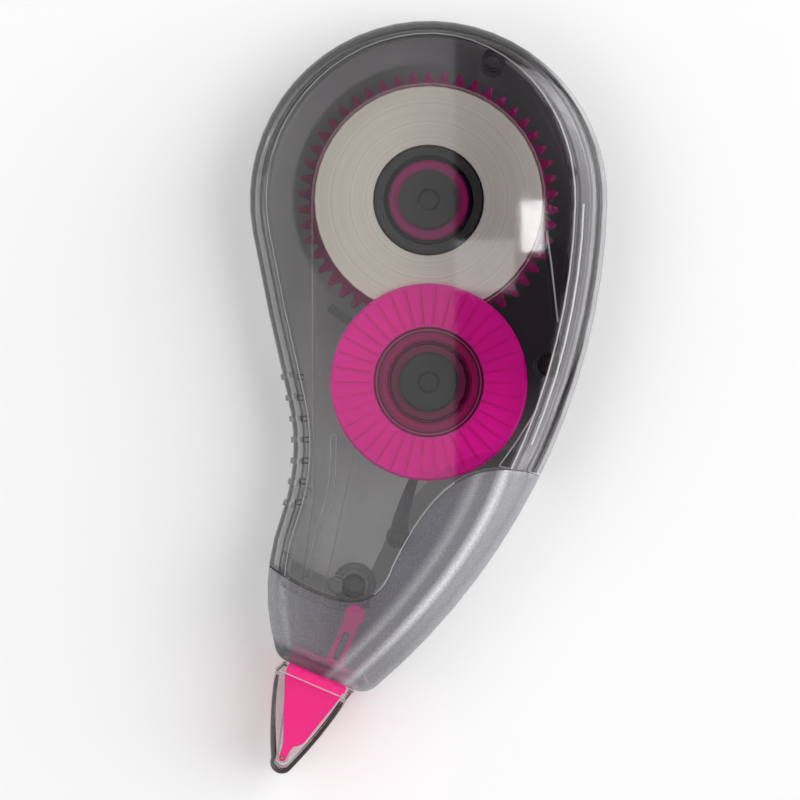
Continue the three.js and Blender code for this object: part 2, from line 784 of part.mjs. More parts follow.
// Supply gear: toothed rim, thin web with round openings, and a hub with a groove for the clutch ring
function supplyGear() {
  const rimWidth = gearModule * 3.8;
  const webInner = hubRadius + gearModule * 3;
  const webOuter = supplyPitchRadius - rimWidth;
  const grooveDepth = clutchRadius;
  const grooveHalf = clutchRadius + sink;
  const bore = bossRadius + runGap;
  const blank = toSolid(prism(gearShape(supplyTeeth, -Math.PI / 2), gearBottom, gearTop));
  const recess = toSolid(ring(webInner, webOuter, gearBottom + gearThickness / 2, gearTop + wall));
  const hub = toSolid(turned([
    [bore, gearBottom],
    [hubRadius, gearBottom],
    [hubRadius, tapeMiddle - grooveHalf],
    [hubRadius - grooveDepth, tapeMiddle - grooveHalf],
    [hubRadius - grooveDepth, tapeMiddle + grooveHalf],
    [hubRadius, tapeMiddle + grooveHalf],
    [hubRadius, hubTop - edgeBreak],
    [hubRadius - edgeBreak, hubTop],
    [bore, hubTop],
  ]));
  const holes = [];
  const holeCount = 6;
  const holeReach = (webInner + webOuter) / 2;
  for (let index = 0; index < holeCount; index += 1) {
    const place = along(index * 2 * Math.PI / holeCount).multiplyScalar(holeReach);
    holes.push(post(place, gearModule * 3, 0, partingLevel, 14));
  }
  return cutBy(joined(cutBy(blank, recess, ...holes), hub), post(supplyAxis, bore, 0, caseDepth, 36));
}

function clutchRing() {
  const seat = hubRadius - clutchRadius + sink + clutchRadius;
  return new THREE.TorusGeometry(seat, clutchRadius, 6, 28).translate(0, 0, tapeMiddle);
}

// Core of the tape pack: a tube with a low collar that rests on the gear
function supplyCore() {
  const bore = coreRadius - coreWall;
  const low = gearTop + seatGap;
  return turned([
    [bore, low],
    [coreRadius + coreWall, low],
    [coreRadius + coreWall, low + edgeBreak],
    [coreRadius, low + edgeBreak],
    [coreRadius, hubTop - edgeBreak],
    [coreRadius - edgeBreak, hubTop],
    [bore, hubTop],
  ]);
}

function tapePack() {
  return ring(coreRadius + meshGap, packRadius, tapeBottom, tapeTop, 44);
}

// Axle pin: a shaft in the boss of the back shell, under a domed head that holds the reel down
function axlePin() {
  const dimple = axleHeadHeight / 2;
  return turned([
    [0, wall + seatGap],
    [axleRadius, wall + seatGap],
    [axleRadius, headBottom],
    [axleHeadRadius, headBottom],
    [axleHeadRadius, headTop - edgeBreak],
    [axleHeadRadius - edgeBreak, headTop],
    [axleRadius - edgeBreak, headTop],
    [axleRadius - 2 * edgeBreak, headTop - dimple],
    [0, headTop - dimple],
  ], 28);
}

const sleeveRadius = takeUpHubRadius - takeUpHubWall - meshGap;

// Bars that stand out of the sleeve, between its keys' angles
function keyBars(inner, outer, width, low, high) {
  const bars = [];
  for (let index = 0; index < keyCount; index += 1) {
    const bar = slab(inner, outer, -width / 2, width / 2, low, high);
    bars.push(toSolid(bar.rotateZ((index + 0.5) * 2 * Math.PI / keyCount)));
  }
  return bars;
}

// Take-up pinion: teeth under a keyed sleeve
function takeUpPinion() {
  const gapUp = Math.PI / 2 + Math.PI / takeUpTeeth;
  const keyReach = sleeveRadius + takeUpHubWall * 0.6;
  const blank = toSolid(prism(gearShape(takeUpTeeth, gapUp), gearBottom, gearTop));
  const sleeve = toSolid(ring(bossRadius + runGap, sleeveRadius, gearBottom, hubTop));
  const keys = keyBars(sleeveRadius - runGap, keyReach, keyWidth, gearTop - runGap, tapeTop);
  return cutBy(joined(blank, sleeve, ...keys), post(supplyAxis, bossRadius + runGap, 0, caseDepth, 36));
}

// Take-up flange: the winding tube, a recessed middle, and the ribbed flange over the tape
function takeUpFlange() {
  const bore = takeUpHubRadius - takeUpHubWall;
  const middleLevel = flangeBottom + flangeThickness * 0.4;
  const underMiddle = tapeTop + tapeGap;
  const body = toSolid(turned([
    [bore, gearTop + seatGap],
    [takeUpHubRadius, gearTop + seatGap],
    [takeUpHubRadius, underMiddle],
    [flangeHoleRadius + edgeBreak, underMiddle],
    [flangeHoleRadius + edgeBreak, flangeBottom],
    [flangeRadius - edgeBreak, flangeBottom],
    [flangeRadius, middleLevel],
    [flangeRadius - edgeBreak, flangeTop],
    [flangeHoleRadius, flangeTop],
    [flangeHoleRadius - sink, middleLevel],
    [takeUpHubRadius, middleLevel],
    [takeUpHubRadius, flangeTop + sink],
    [takeUpHubRadius - edgeBreak, flangeTop + sink],
    [bore, middleLevel],
  ], 44));
  const slotWidth = keyWidth + 2 * meshGap;
  const slotReach = sleeveRadius + takeUpHubWall;
  const slots = keyBars(sleeveRadius, slotReach, slotWidth, gearTop, tapeTop + sink);
  const ribs = [];
  const [ribStart, ribEnd] = [flangeHoleRadius + edgeBreak, flangeRadius - 3 * edgeBreak];
  const half = flangeRibWidth / 2;
  for (let index = 0; index < flangeRibs; index += 1) {
    const rib = slab(ribStart, ribEnd, -half, half, flangeTop - sink, flangeTop + flangeRibHeight);
    ribs.push(toSolid(rib.rotateZ(index * 2 * Math.PI / flangeRibs)));
  }
  return joined(cutBy(body, ...slots), ...ribs);
}

function spentTapeRoll() {
  return ring(takeUpHubRadius + seatGap, spentRollRadius, tapeBottom, tapeTop, 44);
}

// Ratchet pawl: an eye on its post and a thin arm that ends just clear of the pinion's teeth
function ratchetPawl() {
  const toothTip = takeUpPitchRadius + gearModule + seatGap;
  const tip = new THREE.Vector2(pawlPivotAside - 0.8 * pawlTipWidth, pawlPivotBelow - toothTip);
  const root = 0.75 * pawlEyeRadius;
  const bend = 0.35 * tip.y;
  const shape = new THREE.Shape();
  shape.moveTo(-root, 0.35 * root);
  shape.lineTo(root, -0.2 * root);
  shape.quadraticCurveTo(1.1 * root, bend, tip.x + 0.62 * pawlTipWidth, tip.y - 1.35 * pawlTipWidth);
  shape.lineTo(tip.x + 0.8 * pawlTipWidth, tip.y - 0.2 * pawlTipWidth);
  shape.lineTo(tip.x - 0.2 * pawlTipWidth, tip.y);
  shape.lineTo(tip.x - 0.17 * pawlTipWidth, tip.y - 1.4 * pawlTipWidth);
  shape.quadraticCurveTo(-0.3 * root, bend, -root, 0.35 * root);
  const arm = toSolid(prism(shape, pawlLow, pawlLow + pawlThickness));
  const eye = toSolid(disc(pawlEyeRadius, pawlLow, pawlLow + 1.3 * pawlThickness, 22));
  const hole = toSolid(disc(pawlPostRadius + meshGap, 0, partingLevel, 18));
  return cutBy(joined(arm, eye), hole);
}

// Applicator head, one side plate: shoulders in the mouth, a taper, and an ear for the roller's axle
function finShape() {
  const ear = earRadius;
  const tipLevel = -tipReach;
  const fromTip = (aside, up) => [tipOffset + aside * ear, tipLevel + up * ear];
  const fin = new THREE.Shape();
  fin.moveTo(-finLeft - finShoulder, finRoot);
  fin.lineTo(-finLeft - finShoulder, 0.8 * finShoulder);
  fin.lineTo(-finLeft, 0);
  fin.lineTo(-finLeft, -finStraight);
  fin.lineTo(...fromTip(-1.35, 3.6));
  fin.lineTo(...fromTip(-1, 0.2));
  fin.absarc(tipOffset, tipLevel, ear, Math.PI, 2 * Math.PI, false);
  fin.lineTo(...fromTip(1.1, 2));
  fin.lineTo(...fromTip(1.65, 4));
  fin.quadraticCurveTo(...fromTip(3.9, 5.3), ...fromTip(4.2, 7.3));
  fin.lineTo(finRight - sink, -finStraight);
  fin.lineTo(finRight, 0);
  fin.lineTo(finRight + 1.75 * finShoulder, finShoulder);
  fin.lineTo(finRight + 1.75 * finShoulder, finRoot);
  return fin;
}

// Where a straight run of the tape crosses a level of the nose's frame
function runAt(angle, level) {
  const start = toNose(tipAxis.clone().addScaledVector(aside(angle), -tipStop.radius));
  const slope = along(angle).rotateAround(new THREE.Vector2(), noseLean);
  return start.x + slope.x * (level - start.y) / slope.y;
}

// The wedge that fills the space between the two runs of tape, with a gap to each
function wedgeShape() {
  const inset = clear + sink;
  const root = finRoot - runGap;
  const end = -tipReach + tipRollerRadius + 2.5 * runGap;
  const feedAt = (level) => runAt(mouthHeading, level) + inset;
  const returnAt = (level) => runAt(returnHeading, level) - inset;
  return new THREE.Shape([
    new THREE.Vector2(feedAt(end), end),
    new THREE.Vector2(returnAt(end), end),
    new THREE.Vector2(returnAt(root), root),
    new THREE.Vector2(feedAt(root), root),
  ]);
}

// The rail that joins the two side plates along their right edge
function railShape() {
  const ear = earRadius;
  const root = finRoot - runGap;
  const tipLevel = -tipReach;
  return new THREE.Shape([
    new THREE.Vector2(finRight - railWidth, root),
    new THREE.Vector2(finRight - 1.65 * railWidth, -finStraight + 0.3 * railWidth),
    new THREE.Vector2(tipOffset + 2.45 * ear, tipLevel + 8.2 * ear),
    new THREE.Vector2(tipOffset + 2.65 * ear, tipLevel + 6.45 * ear),
    new THREE.Vector2(tipOffset + 3.75 * ear, tipLevel + 7.3 * ear),
    new THREE.Vector2(finRight - 0.5 * railWidth, -finStraight),
    new THREE.Vector2(finRight - 0.15 * railWidth, 0.15 * railWidth),
    new THREE.Vector2(finRight + 0.65 * railWidth, root),
  ]);
}

// The stem inside the nose: it widens to a round end and is slotted for the peg
function stemBody() {
  const shape = new THREE.Shape();
  const opening = THREE.MathUtils.degToRad(40);
  shape.moveTo(stemAside - stemHalf, -finStraight);
  shape.lineTo(stemAside + stemHalf, -finStraight);
  shape.lineTo(stemAside + 0.8 * stemHalf, stemReach - 0.8 * bulbRadius);
  shape.absarc(stemAside, stemReach, bulbRadius, -opening, Math.PI + opening, false);
  const slotHalf = pegWidth / 2 + meshGap;
  const slot = slab(-slotHalf, slotHalf, pegLow - runGap, pegHigh + runGap, 0, caseDepth);
  const half = 0.75 * tapeWidth / 2;
  const stem = toSolid(prism(shape, tapeMiddle - half, tapeMiddle + half));
  return stem.subtract(toSolid(slot.translate(stemAside, 0, 0)));
}

function applicatorHead() {
  const fin = finShape();
  const innerReach = finInner + sink;
  const blockReach = finOuter - sink;
  const low = toSolid(prism(fin, tapeMiddle - finOuter, tapeMiddle - finInner));
  const high = toSolid(prism(fin, tapeMiddle + finInner, tapeMiddle + finOuter));
  const inside = [wedgeShape(), railShape()].map((shape) => {
    return toSolid(prism(shape, tapeMiddle - innerReach, tapeMiddle + innerReach));
  });
  const blockHalf = stemHalf - sink;
  const block = toSolid(slab(
    stemAside - blockHalf,
    stemAside + blockHalf,
    -stemHalf,
    finRoot - runGap,
    tapeMiddle - blockReach,
    tapeMiddle + blockReach,
  ));
  const faceRibs = [-0.97 * finLeft, -0.32 * finLeft, 0.58 * finRight].map((left) => {
    const right = left + 2.1 * headRibWidth;
    const top = -0.2 * headRibWidth;
    const ribTop = tapeMiddle + finOuter + seatGap;
    return toSolid(slab(left, right, top - headRibWidth, top, tapeMiddle + blockReach, ribTop));
  });
  const eye = toSolid(disc(tipAxleRadius + sink, 0, caseDepth, 16).translate(tipOffset, -tipReach, 0));
  return cutBy(joined(low, high, ...inside, block, stemBody(), ...faceRibs), eye);
}

function tipRoller() {
  return ring(tipAxleRadius + sink, tipRollerRadius, tapeBottom, tapeTop, 18);
}

function tipAxle() {
  return disc(tipAxleRadius, tapeMiddle - finOuter, tapeMiddle + finOuter, 12);
}

// Cap outline, drawn in by the given walls: shoulders at the mouth, a belly on each side, a round tip
function capOutline({ left, right, tipCentre, tipRadius, top }) {
  const shape = new THREE.Shape();
  const [tipStart, tipEnd] = [Math.PI + 0.15, 2 * Math.PI - 0.25];
  const rightTop = 0.94 * capHalfTop - right;
  shape.moveTo(capHalfTop - right, top);
  shape.lineTo(-capHalfTop + left, top);
  shape.lineTo(-capHalfTop + left, capTop);
  shape.lineTo(-capShoulder + left, capFrontTop - sink);
  shape.quadraticCurveTo(-0.92 * capHalfTop + left, -capBelly, tipCentre.x - tipRadius, tipCentre.y);
  shape.absarc(tipCentre.x, tipCentre.y, tipRadius, tipStart, tipEnd, false);
  shape.quadraticCurveTo(0.75 * capHalfTop - right, -1.1 * capBelly, rightTop, capFrontTop + sink);
  return shape;
}

// Cap: a tapered hollow shell, lower in front, with a tongue at the back that enters the mouth
function cap() {
  const outer = {
    left: 0,
    right: 0,
    tipCentre: new THREE.Vector2(0, -tipReach - earRadius),
    tipRadius: capTipRadius,
    top: capTop,
  };
  const inner = {
    left: capLeftWall,
    right: capSideWall,
    tipCentre: new THREE.Vector2(tipOffset + sink, -tipReach - meshGap),
    tipRadius: capTipRadius - capLeftWall,
    top: wall,
  };
  const [bottom, top] = [tapeMiddle - capOuter, tapeMiddle + capOuter];
  const outside = toSolid(roundedPrism(capOutline(outer), bottom, top, capEdgeBreak));
  const inside = toSolid(prism(capOutline(inner), tapeMiddle - capInner, tapeMiddle + capInner));
  const half = capTongueHalf;
  const stepHalf = half + runGap;
  const frontStep = toSolid(slab(-stepHalf, stepHalf, capFrontTop, wall, tapeMiddle, caseDepth));
  const tongueTop = tapeMiddle - capInner - sink;
  const backTongue = toSolid(slab(-half, half, -wall, capTongueReach, bottom + sink, tongueTop));
  return joined(cutBy(outside, inside, frontStep), backTongue);
}

// Assembly
const dispenser = new THREE.Group();
const supplyReel = new THREE.Group();
const takeUpReel = new THREE.Group();
const nose = new THREE.Group();
const tip = new THREE.Group();
const pawl = new THREE.Group();
supplyReel.position.set(supplyAxis.x, supplyAxis.y, 0);
takeUpReel.position.set(takeUpAxis.x, takeUpAxis.y, 0);
nose.position.set(mouth.x, mouth.y, 0);
nose.rotation.z = -noseLean;
tip.position.set(tipOffset, -tipReach, 0);
pawl.position.set(pawlPivot.x, pawlPivot.y, 0);
nose.add(tip);
dispenser.add(supplyReel, takeUpReel, nose, pawl);

function addPart(group, name, shape, finish) {
  const geometry = shape.isBufferGeometry ? toGeometry(toSolid(shape)) : toGeometry(shape);
  const mesh = new THREE.Mesh(geometry, new THREE.MeshStandardMaterial(finishes[finish]));
  mesh.name = name;
  group.add(mesh);
}

addPart(dispenser, 'back_shell', backShell(), 'clear');
addPart(dispenser, 'front_shell', frontShell(), 'clear');
addPart(dispenser, 'back_nose_cover', backNoseCover(), 'frosted');
addPart(dispenser, 'front_nose_cover', frontNoseCover(), 'frosted');
addPart(supplyReel, 'supply_axle', axlePin(), 'dark');
addPart(supplyReel, 'supply_gear', supplyGear(), 'magenta');
addPart(supplyReel, 'clutch_ring', clutchRing(), 'rubber');
addPart(supplyReel, 'supply_core', supplyCore(), 'dark');
addPart(supplyReel, 'tape_pack', tapePack(), 'tape');
addPart(takeUpReel, 'take_up_axle', axlePin(), 'dark');
addPart(takeUpReel, 'take_up_pinion', takeUpPinion(), 'magenta');
addPart(takeUpReel, 'take_up_flange', takeUpFlange(), 'magenta');
addPart(takeUpReel, 'spent_tape_roll', spentTapeRoll(), 'film');
addPart(dispenser, 'coated_tape', coatedTape(), 'tape');
addPart(dispenser, 'spent_tape', spentTape(), 'film');
addPart(pawl, 'ratchet_pawl', ratchetPawl(), 'dark');
addPart(nose, 'applicator_head', applicatorHead(), 'pink');
addPart(tip, 'tip_roller', tipRoller(), 'pink');
addPart(tip, 'tip_axle', tipAxle(), 'steel');
addPart(nose, 'cap', cap(), 'clear');

export default dispenser;
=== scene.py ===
import json
import math

import bmesh
import bpy
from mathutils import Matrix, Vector
from mathutils.bvhtree import BVHTree


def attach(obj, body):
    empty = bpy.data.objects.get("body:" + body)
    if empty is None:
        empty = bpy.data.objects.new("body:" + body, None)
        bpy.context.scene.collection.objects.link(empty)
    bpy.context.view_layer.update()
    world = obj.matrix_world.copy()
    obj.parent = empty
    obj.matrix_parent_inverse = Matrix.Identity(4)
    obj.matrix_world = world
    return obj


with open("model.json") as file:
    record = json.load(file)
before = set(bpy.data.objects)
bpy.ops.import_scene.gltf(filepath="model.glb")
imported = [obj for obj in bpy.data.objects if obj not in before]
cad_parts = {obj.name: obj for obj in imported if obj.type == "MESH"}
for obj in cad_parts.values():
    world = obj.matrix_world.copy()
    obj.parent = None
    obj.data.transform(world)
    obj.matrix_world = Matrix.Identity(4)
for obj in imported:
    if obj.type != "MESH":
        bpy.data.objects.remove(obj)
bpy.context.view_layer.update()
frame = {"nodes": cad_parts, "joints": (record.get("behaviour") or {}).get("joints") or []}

# The looks of a correction tape dispenser that lies on its back, seen from straight above.
# Metres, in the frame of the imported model: X to the right, Y towards the round end, Z up.

MM = 0.001
nodes = frame["nodes"]

# Places that the looks are set out from
joint_place = {joint["name"]: Vector(joint["pos_m"]) for joint in frame["joints"] if "pos_m" in joint}
supply_axis = joint_place["supply_gear_spin"]
take_up_axis = joint_place["take_up_spin"]
slide_axis = Vector(next(joint["axis"] for joint in frame["joints"] if joint["name"] == "cap_slide"))

# Levels above the back face that the shades follow, in metres unless said otherwise
pin_shoulder = 10.45 * MM
pin_end = 7.16 * MM
front_lap = 12.15 * MM
no_lap = -1.0 * MM
crease_level = 13.8 * MM
rim_level = 12.7 * MM
gleam_level = 13.2 * MM
post_tops = (10.15, 6.8, 5.6, 4.4, 1.9)  # millimetres
# Levels of the stripes of painted shade along the front shell's rounded edge
rounding_stripes = ((12.94, 0.1), (13.38, 0.08), (13.85, 0.05))  # millimetres, with half their height

# Sizes of the reels
teeth_reach = 15.6 * MM
rib_count = 38

# Framing of the photograph: what its middle shows, and how much it takes in
view_middle = Vector((-3.56 * MM, -24.9 * MM, 7 * MM))
view_width = 100 * MM
lens_length = 250
sensor_width = 36

white = (1, 1, 1, 1)


class Shader:
    """A material and its node tree, filled by short calls."""

    def __init__(self, name):
        self.material = bpy.data.materials.new(name)
        self.material.use_nodes = True
        self.tree = self.material.node_tree
        self.tree.nodes.clear()

    def node(self, kind, inputs=None, **settings):
        made = self.tree.nodes.new("ShaderNode" + kind)
        for key, value in settings.items():
            setattr(made, key, value)
        for key, value in (inputs or {}).items():
            if isinstance(value, bpy.types.NodeSocket):
                self.tree.links.new(value, made.inputs[key])
            else:
                made.inputs[key].default_value = value
        return made

    def math(self, operation, first, second=0.0):
        return self.node("Math", {0: first, 1: second}, operation=operation).outputs[0]

    def stretch(self, value, low, high, to_low, to_high):
        """A value carried from one range to another and kept inside it."""
        inputs = {"Value": value, "From Min": low, "From Max": high, "To Min": to_low, "To Max": to_high}
        return self.node("MapRange", inputs).outputs[0]

    def blend(self, share, first, second):
        """A colour between two others."""
        return self.node("Mix", {0: share, 6: first, 7: second}, data_type="RGBA").outputs[2]

    def mix(self, share, first, second):
        """A shader between two others."""
        return self.node("MixShader", {0: share, 1: first, 2: second}).outputs[0]

    def place(self):
        return self.node("TexCoord").outputs["Object"]

    def part(self, axis):
        """One coordinate of the place on the object."""
        return self.node("SeparateXYZ", {0: self.place()}).outputs[axis]

    def noise(self, scale, detail=2.0, vector=None):
        inputs = {"Vector": vector or self.place(), "Scale": scale, "Detail": detail}
        return self.node("TexNoise", inputs).outputs["Fac"]

    def patches(self, scale, low, high, spread=0.15, detail=2.0):
        """A value that wanders from one to another in patches, with harder edges for a smaller spread."""
        return self.stretch(self.noise(scale, detail), 0.5 - spread, 0.5 + spread, low, high)

    def bump(self, height, distance, strength=1.0):
        inputs = {"Height": height, "Distance": distance, "Strength": strength}
        return self.node("Bump", inputs).outputs["Normal"]

    def facing(self):
        """0 where a surface is met head on and 1 where it is met along itself."""
        return self.node("LayerWeight", {"Blend": 0.5}).outputs["Facing"]

    def times(self, *values):
        product = values[0]
        for value in values[1:]:
            product = self.math("MULTIPLY", product, value)
        return product

    def most(self, *values):
        greatest = values[0]
        for value in values[1:]:
            greatest = self.math("MAXIMUM", greatest, value)
        return greatest

    def upness(self):
        """How nearly level a face lies: 1 where it is level and 0 where it stands upright."""
        normal = self.node("NewGeometry").outputs["True Normal"]
        return self.math("ABSOLUTE", self.node("SeparateXYZ", {0: normal}).outputs["Z"])

    def lying(self):
        """1 on faces that lie level or nearly so and 0 on all others."""
        return self.stretch(self.upness(), 0.93, 0.97, 0.0, 1.0)

    def standing(self):
        """0 on faces that lie level or nearly so and 1 on all others."""
        return self.math("SUBTRACT", 1.0, self.lying())

    def steady_normal(self):
        """The smooth normal, and on level faces their own, so that they mirror without a ripple."""
        geometry = self.node("NewGeometry")
        level = self.stretch(self.upness(), 0.995, 0.999, 0.0, 1.0)
        inputs = {0: level, 4: geometry.outputs["Normal"], 5: geometry.outputs["True Normal"]}
        return self.node("Mix", inputs, data_type="VECTOR").outputs[1]

    def offset(self, value, middle):
        """How far a value is from another, on either side."""
        return self.math("ABSOLUTE", self.math("SUBTRACT", value, middle))

    def band(self, value, middle, half_width):
        """1 near a value, 0 away from it, and a soft step between."""
        return self.stretch(self.offset(value, middle), 0.7 * half_width, 1.1 * half_width, 1.0, 0.0)

    def hump(self, value, middle, reach):
        """1 at a value, and falling smoothly to 0 on both sides of it."""
        falloff = 1.3
        return self.math("POWER", self.stretch(self.offset(value, middle), 0.0, reach, 1.0, 0.0), falloff)

    def along(self, direction):
        """How far a place lies along a direction."""
        inputs = {0: self.place(), 1: direction}
        return self.node("VectorMath", inputs, operation="DOT_PRODUCT").outputs["Value"]

    def pale(self, normal=None):
        """A pale matt surface that paints a highlight where a polished or pearly one throws the light back.
        """
        inputs = {"Base Color": colour(240, 240, 243), "Roughness": 0.4}
        if normal:
            inputs["Normal"] = normal
        return self.node("BsdfPrincipled", inputs).outputs[0]

    def dimmed(self, shade, share, level):
        """A colour brought down to a level of itself, by a share."""
        scale = self.stretch(share, 0.0, 1.0, 1.0, level)
        return self.node("VectorMath", {0: shade, "Scale": scale}, operation="SCALE").outputs[0]

    def from_axis(self, axis):
        """The way to a place from an upright axis."""
        apart = self.node("VectorMath", {0: self.place(), 1: axis}, operation="SUBTRACT").outputs[0]
        return self.node("VectorMath", {0: apart, 1: (1, 1, 0)}, operation="MULTIPLY").outputs[0]

    def reach_from(self, axis):
        return self.node("VectorMath", {0: self.from_axis(axis)}, operation="LENGTH").outputs["Value"]

    def spokes(self, axis, count, width):
        """1 on evenly spaced lines out of an axis and 0 between them."""
        way = self.node("SeparateXYZ", {0: self.from_axis(axis)})
        angle = self.node("Math", {0: way.outputs[1], 1: way.outputs[0]}, operation="ARCTAN2").outputs[0]
        half_pitch = math.pi / count
        turned = self.math("PINGPONG", angle, half_pitch)
        across = self.math("MULTIPLY", turned, self.reach_from(axis))
        return self.stretch(across, 0.3 * width, width, 1.0, 0.0)

    def done(self, surface, volume=None):
        inputs = {"Surface": surface}
        if volume:
            inputs["Volume"] = volume
        self.node("OutputMaterial", inputs)
        return self.material


def colour(red, green, blue):
    """A colour given as the screen shows it, 0 to 255, in linear values."""
    def linear(value):
        share = value / 255
        return share / 12.92 if share <= 0.04045 else ((share + 0.055) / 1.055) ** 2.4
    return (linear(red), linear(green), linear(blue), 1)


def smoky_plastic(name, light_tint, painted_shade_tint, painted_shade_from, haze, marks, gleam=None):
    """Clear dark plastic, with painted shade that makes it darkest on the right of its middle and less dark
    towards its lower and upper ends, and darker where it is met along itself.

    marks(shader) gives the share of painted shade in places, and gleam(shader)
    the share of painted highlight in others.
    """
    s = Shader(name)
    edge_tint = colour(46, 46, 49)
    painted_shade_full_from = 10 * MM
    marked_level = 0.42
    # Painted shade: the tint darkens towards the right, and less so towards the lower and upper ends
    aside = s.stretch(s.part("X"), painted_shade_from, painted_shade_full_from, 0.0, 1.0)
    lower_end = s.stretch(s.along((0.3, 1, 0)), -36 * MM, -16 * MM, 0.1, 1.0)
    upper_end = s.stretch(s.along((0.8, 1, 0)), 6 * MM, 22 * MM, 1.0, 0.65)
    cloud = s.patches(60, 0.94, 1.06, spread=0.2)
    face_tint = s.blend(s.times(aside, lower_end, upper_end, cloud), light_tint, painted_shade_tint)
    tint = s.blend(s.stretch(s.facing(), 0.35, 0.8, 0.0, 1.0), face_tint, edge_tint)
    # Painted shade where marks says so
    tint = s.dimmed(tint, marks(s), marked_level)
    clear = s.node("BsdfTransparent", {"Color": tint}).outputs[0]
    surface = polished(s, clear, haze)
    if gleam:
        # Painted highlight where gleam says so
        surface = s.mix(gleam(s), surface, s.pale())
    return s.done(surface)


def right_side(s):
    """0 on the left and at the top of the case and 1 along its right side."""
    return s.stretch(s.along((1, -0.2, 0)), 8 * MM, 14 * MM, 0.0, 1.0)


def front_painted_shade(s):
    """Painted shade: dark stripes along the rounded edge, at the ends of the pins and over the left of the
    gear.
    """
    up = s.part("Z")
    right = right_side(s)
    left = s.math("SUBTRACT", 1.0, right)
    # Painted shade in stripes on the right, and beside the crease and at the rim on the left
    stripes = s.most(*[s.band(up, level * MM, half * MM) for level, half in rounding_stripes])
    beside_crease = s.times(s.band(up, crease_level, 0.22 * MM), 0.4)
    outer = s.times(s.band(up, rim_level, 0.42 * MM), 0.45, s.standing())
    # Painted shade at the ends of the pins
    pins = s.most(s.band(up, pin_shoulder, 0.1 * MM), s.band(up, pin_end, 0.03 * MM))
    pins = s.times(pins, s.lying(), s.stretch(s.part("Y"), -40 * MM, 5 * MM, 0.75, 0.15))
    # Painted shade in a ring over the left of the gear
    ring = s.times(s.band(s.reach_from(supply_axis), teeth_reach, 1.4 * MM), s.lying())
    ring = s.times(ring, s.stretch(s.along((1, -0.5, 0)), -14 * MM, -4 * MM, 0.55, 0.0))
    on_right = s.times(right, stripes, 0.8)
    on_left = s.times(left, s.most(beside_crease, outer))
    return s.most(on_right, on_left, pins, ring)


def front_gleam(s):
    """Painted highlight on the rounded edge on the right, where it throws light back: broad at its foot and
    a fine line above.
    """
    up = s.part("Z")
    from_below = s.stretch(up, 11.5 * MM, 12.0 * MM, 0.0, 1.0)
    outermost = s.times(from_below, s.stretch(up, 12.42 * MM, 12.68 * MM, 0.6, 0.0))
    inner = s.times(s.band(up, gleam_level, 0.1 * MM), 0.18)
    return s.times(right_side(s), s.most(outermost, inner), s.patches(180, 0.75, 1.0), s.standing())


def back_painted_shade(s):
    """Painted shade on the tops of the sockets, the stop and the seats, which are looked through from end
    to end.
    """
    up = s.part("Z")
    tops = s.most(*[s.band(up, level * MM, 0.04 * MM) for level in post_tops])
    return s.times(tops, s.lying(), s.stretch(s.part("Y"), -12 * MM, 5 * MM, 0.6, 0.1))


def polished(s, clear, haze, head_on=0.045):
    """A polished, slightly hazy surface over a clear one. head_on is the share it mirrors from in front."""
    dust = s.node("BsdfDiffuse", {"Color": colour(150, 150, 155)}).outputs[0]
    worn = s.stretch(s.noise(900, 3.0), 0.45, 0.8, 0.015, 0.04)
    inputs = {"Color": white, "Roughness": worn, "Normal": s.steady_normal()}
    gloss = s.node("BsdfGlossy", inputs).outputs[0]
    along_itself = s.times(s.math("POWER", s.facing(), 4.0), 0.7)
    mirror = s.math("ADD", along_itself, head_on)
    return s.mix(mirror, s.mix(haze, clear, dust), gloss)


def thick_plastic(name, tint, loss, haze):
    """Clear plastic that takes more light the further it is looked through."""
    s = Shader(name)
    depth_tint = (0.1, 0.04, 0.04, 1)
    cloud = s.patches(90, 0.0, 1.0, spread=0.2)
    clear = s.node("BsdfTransparent", {"Color": s.blend(cloud, tint, white)}).outputs[0]
    volume = s.node("VolumeAbsorption", {"Color": depth_tint, "Density": loss}).outputs[0]
    return s.done(polished(s, clear, haze, head_on=0.03), volume)


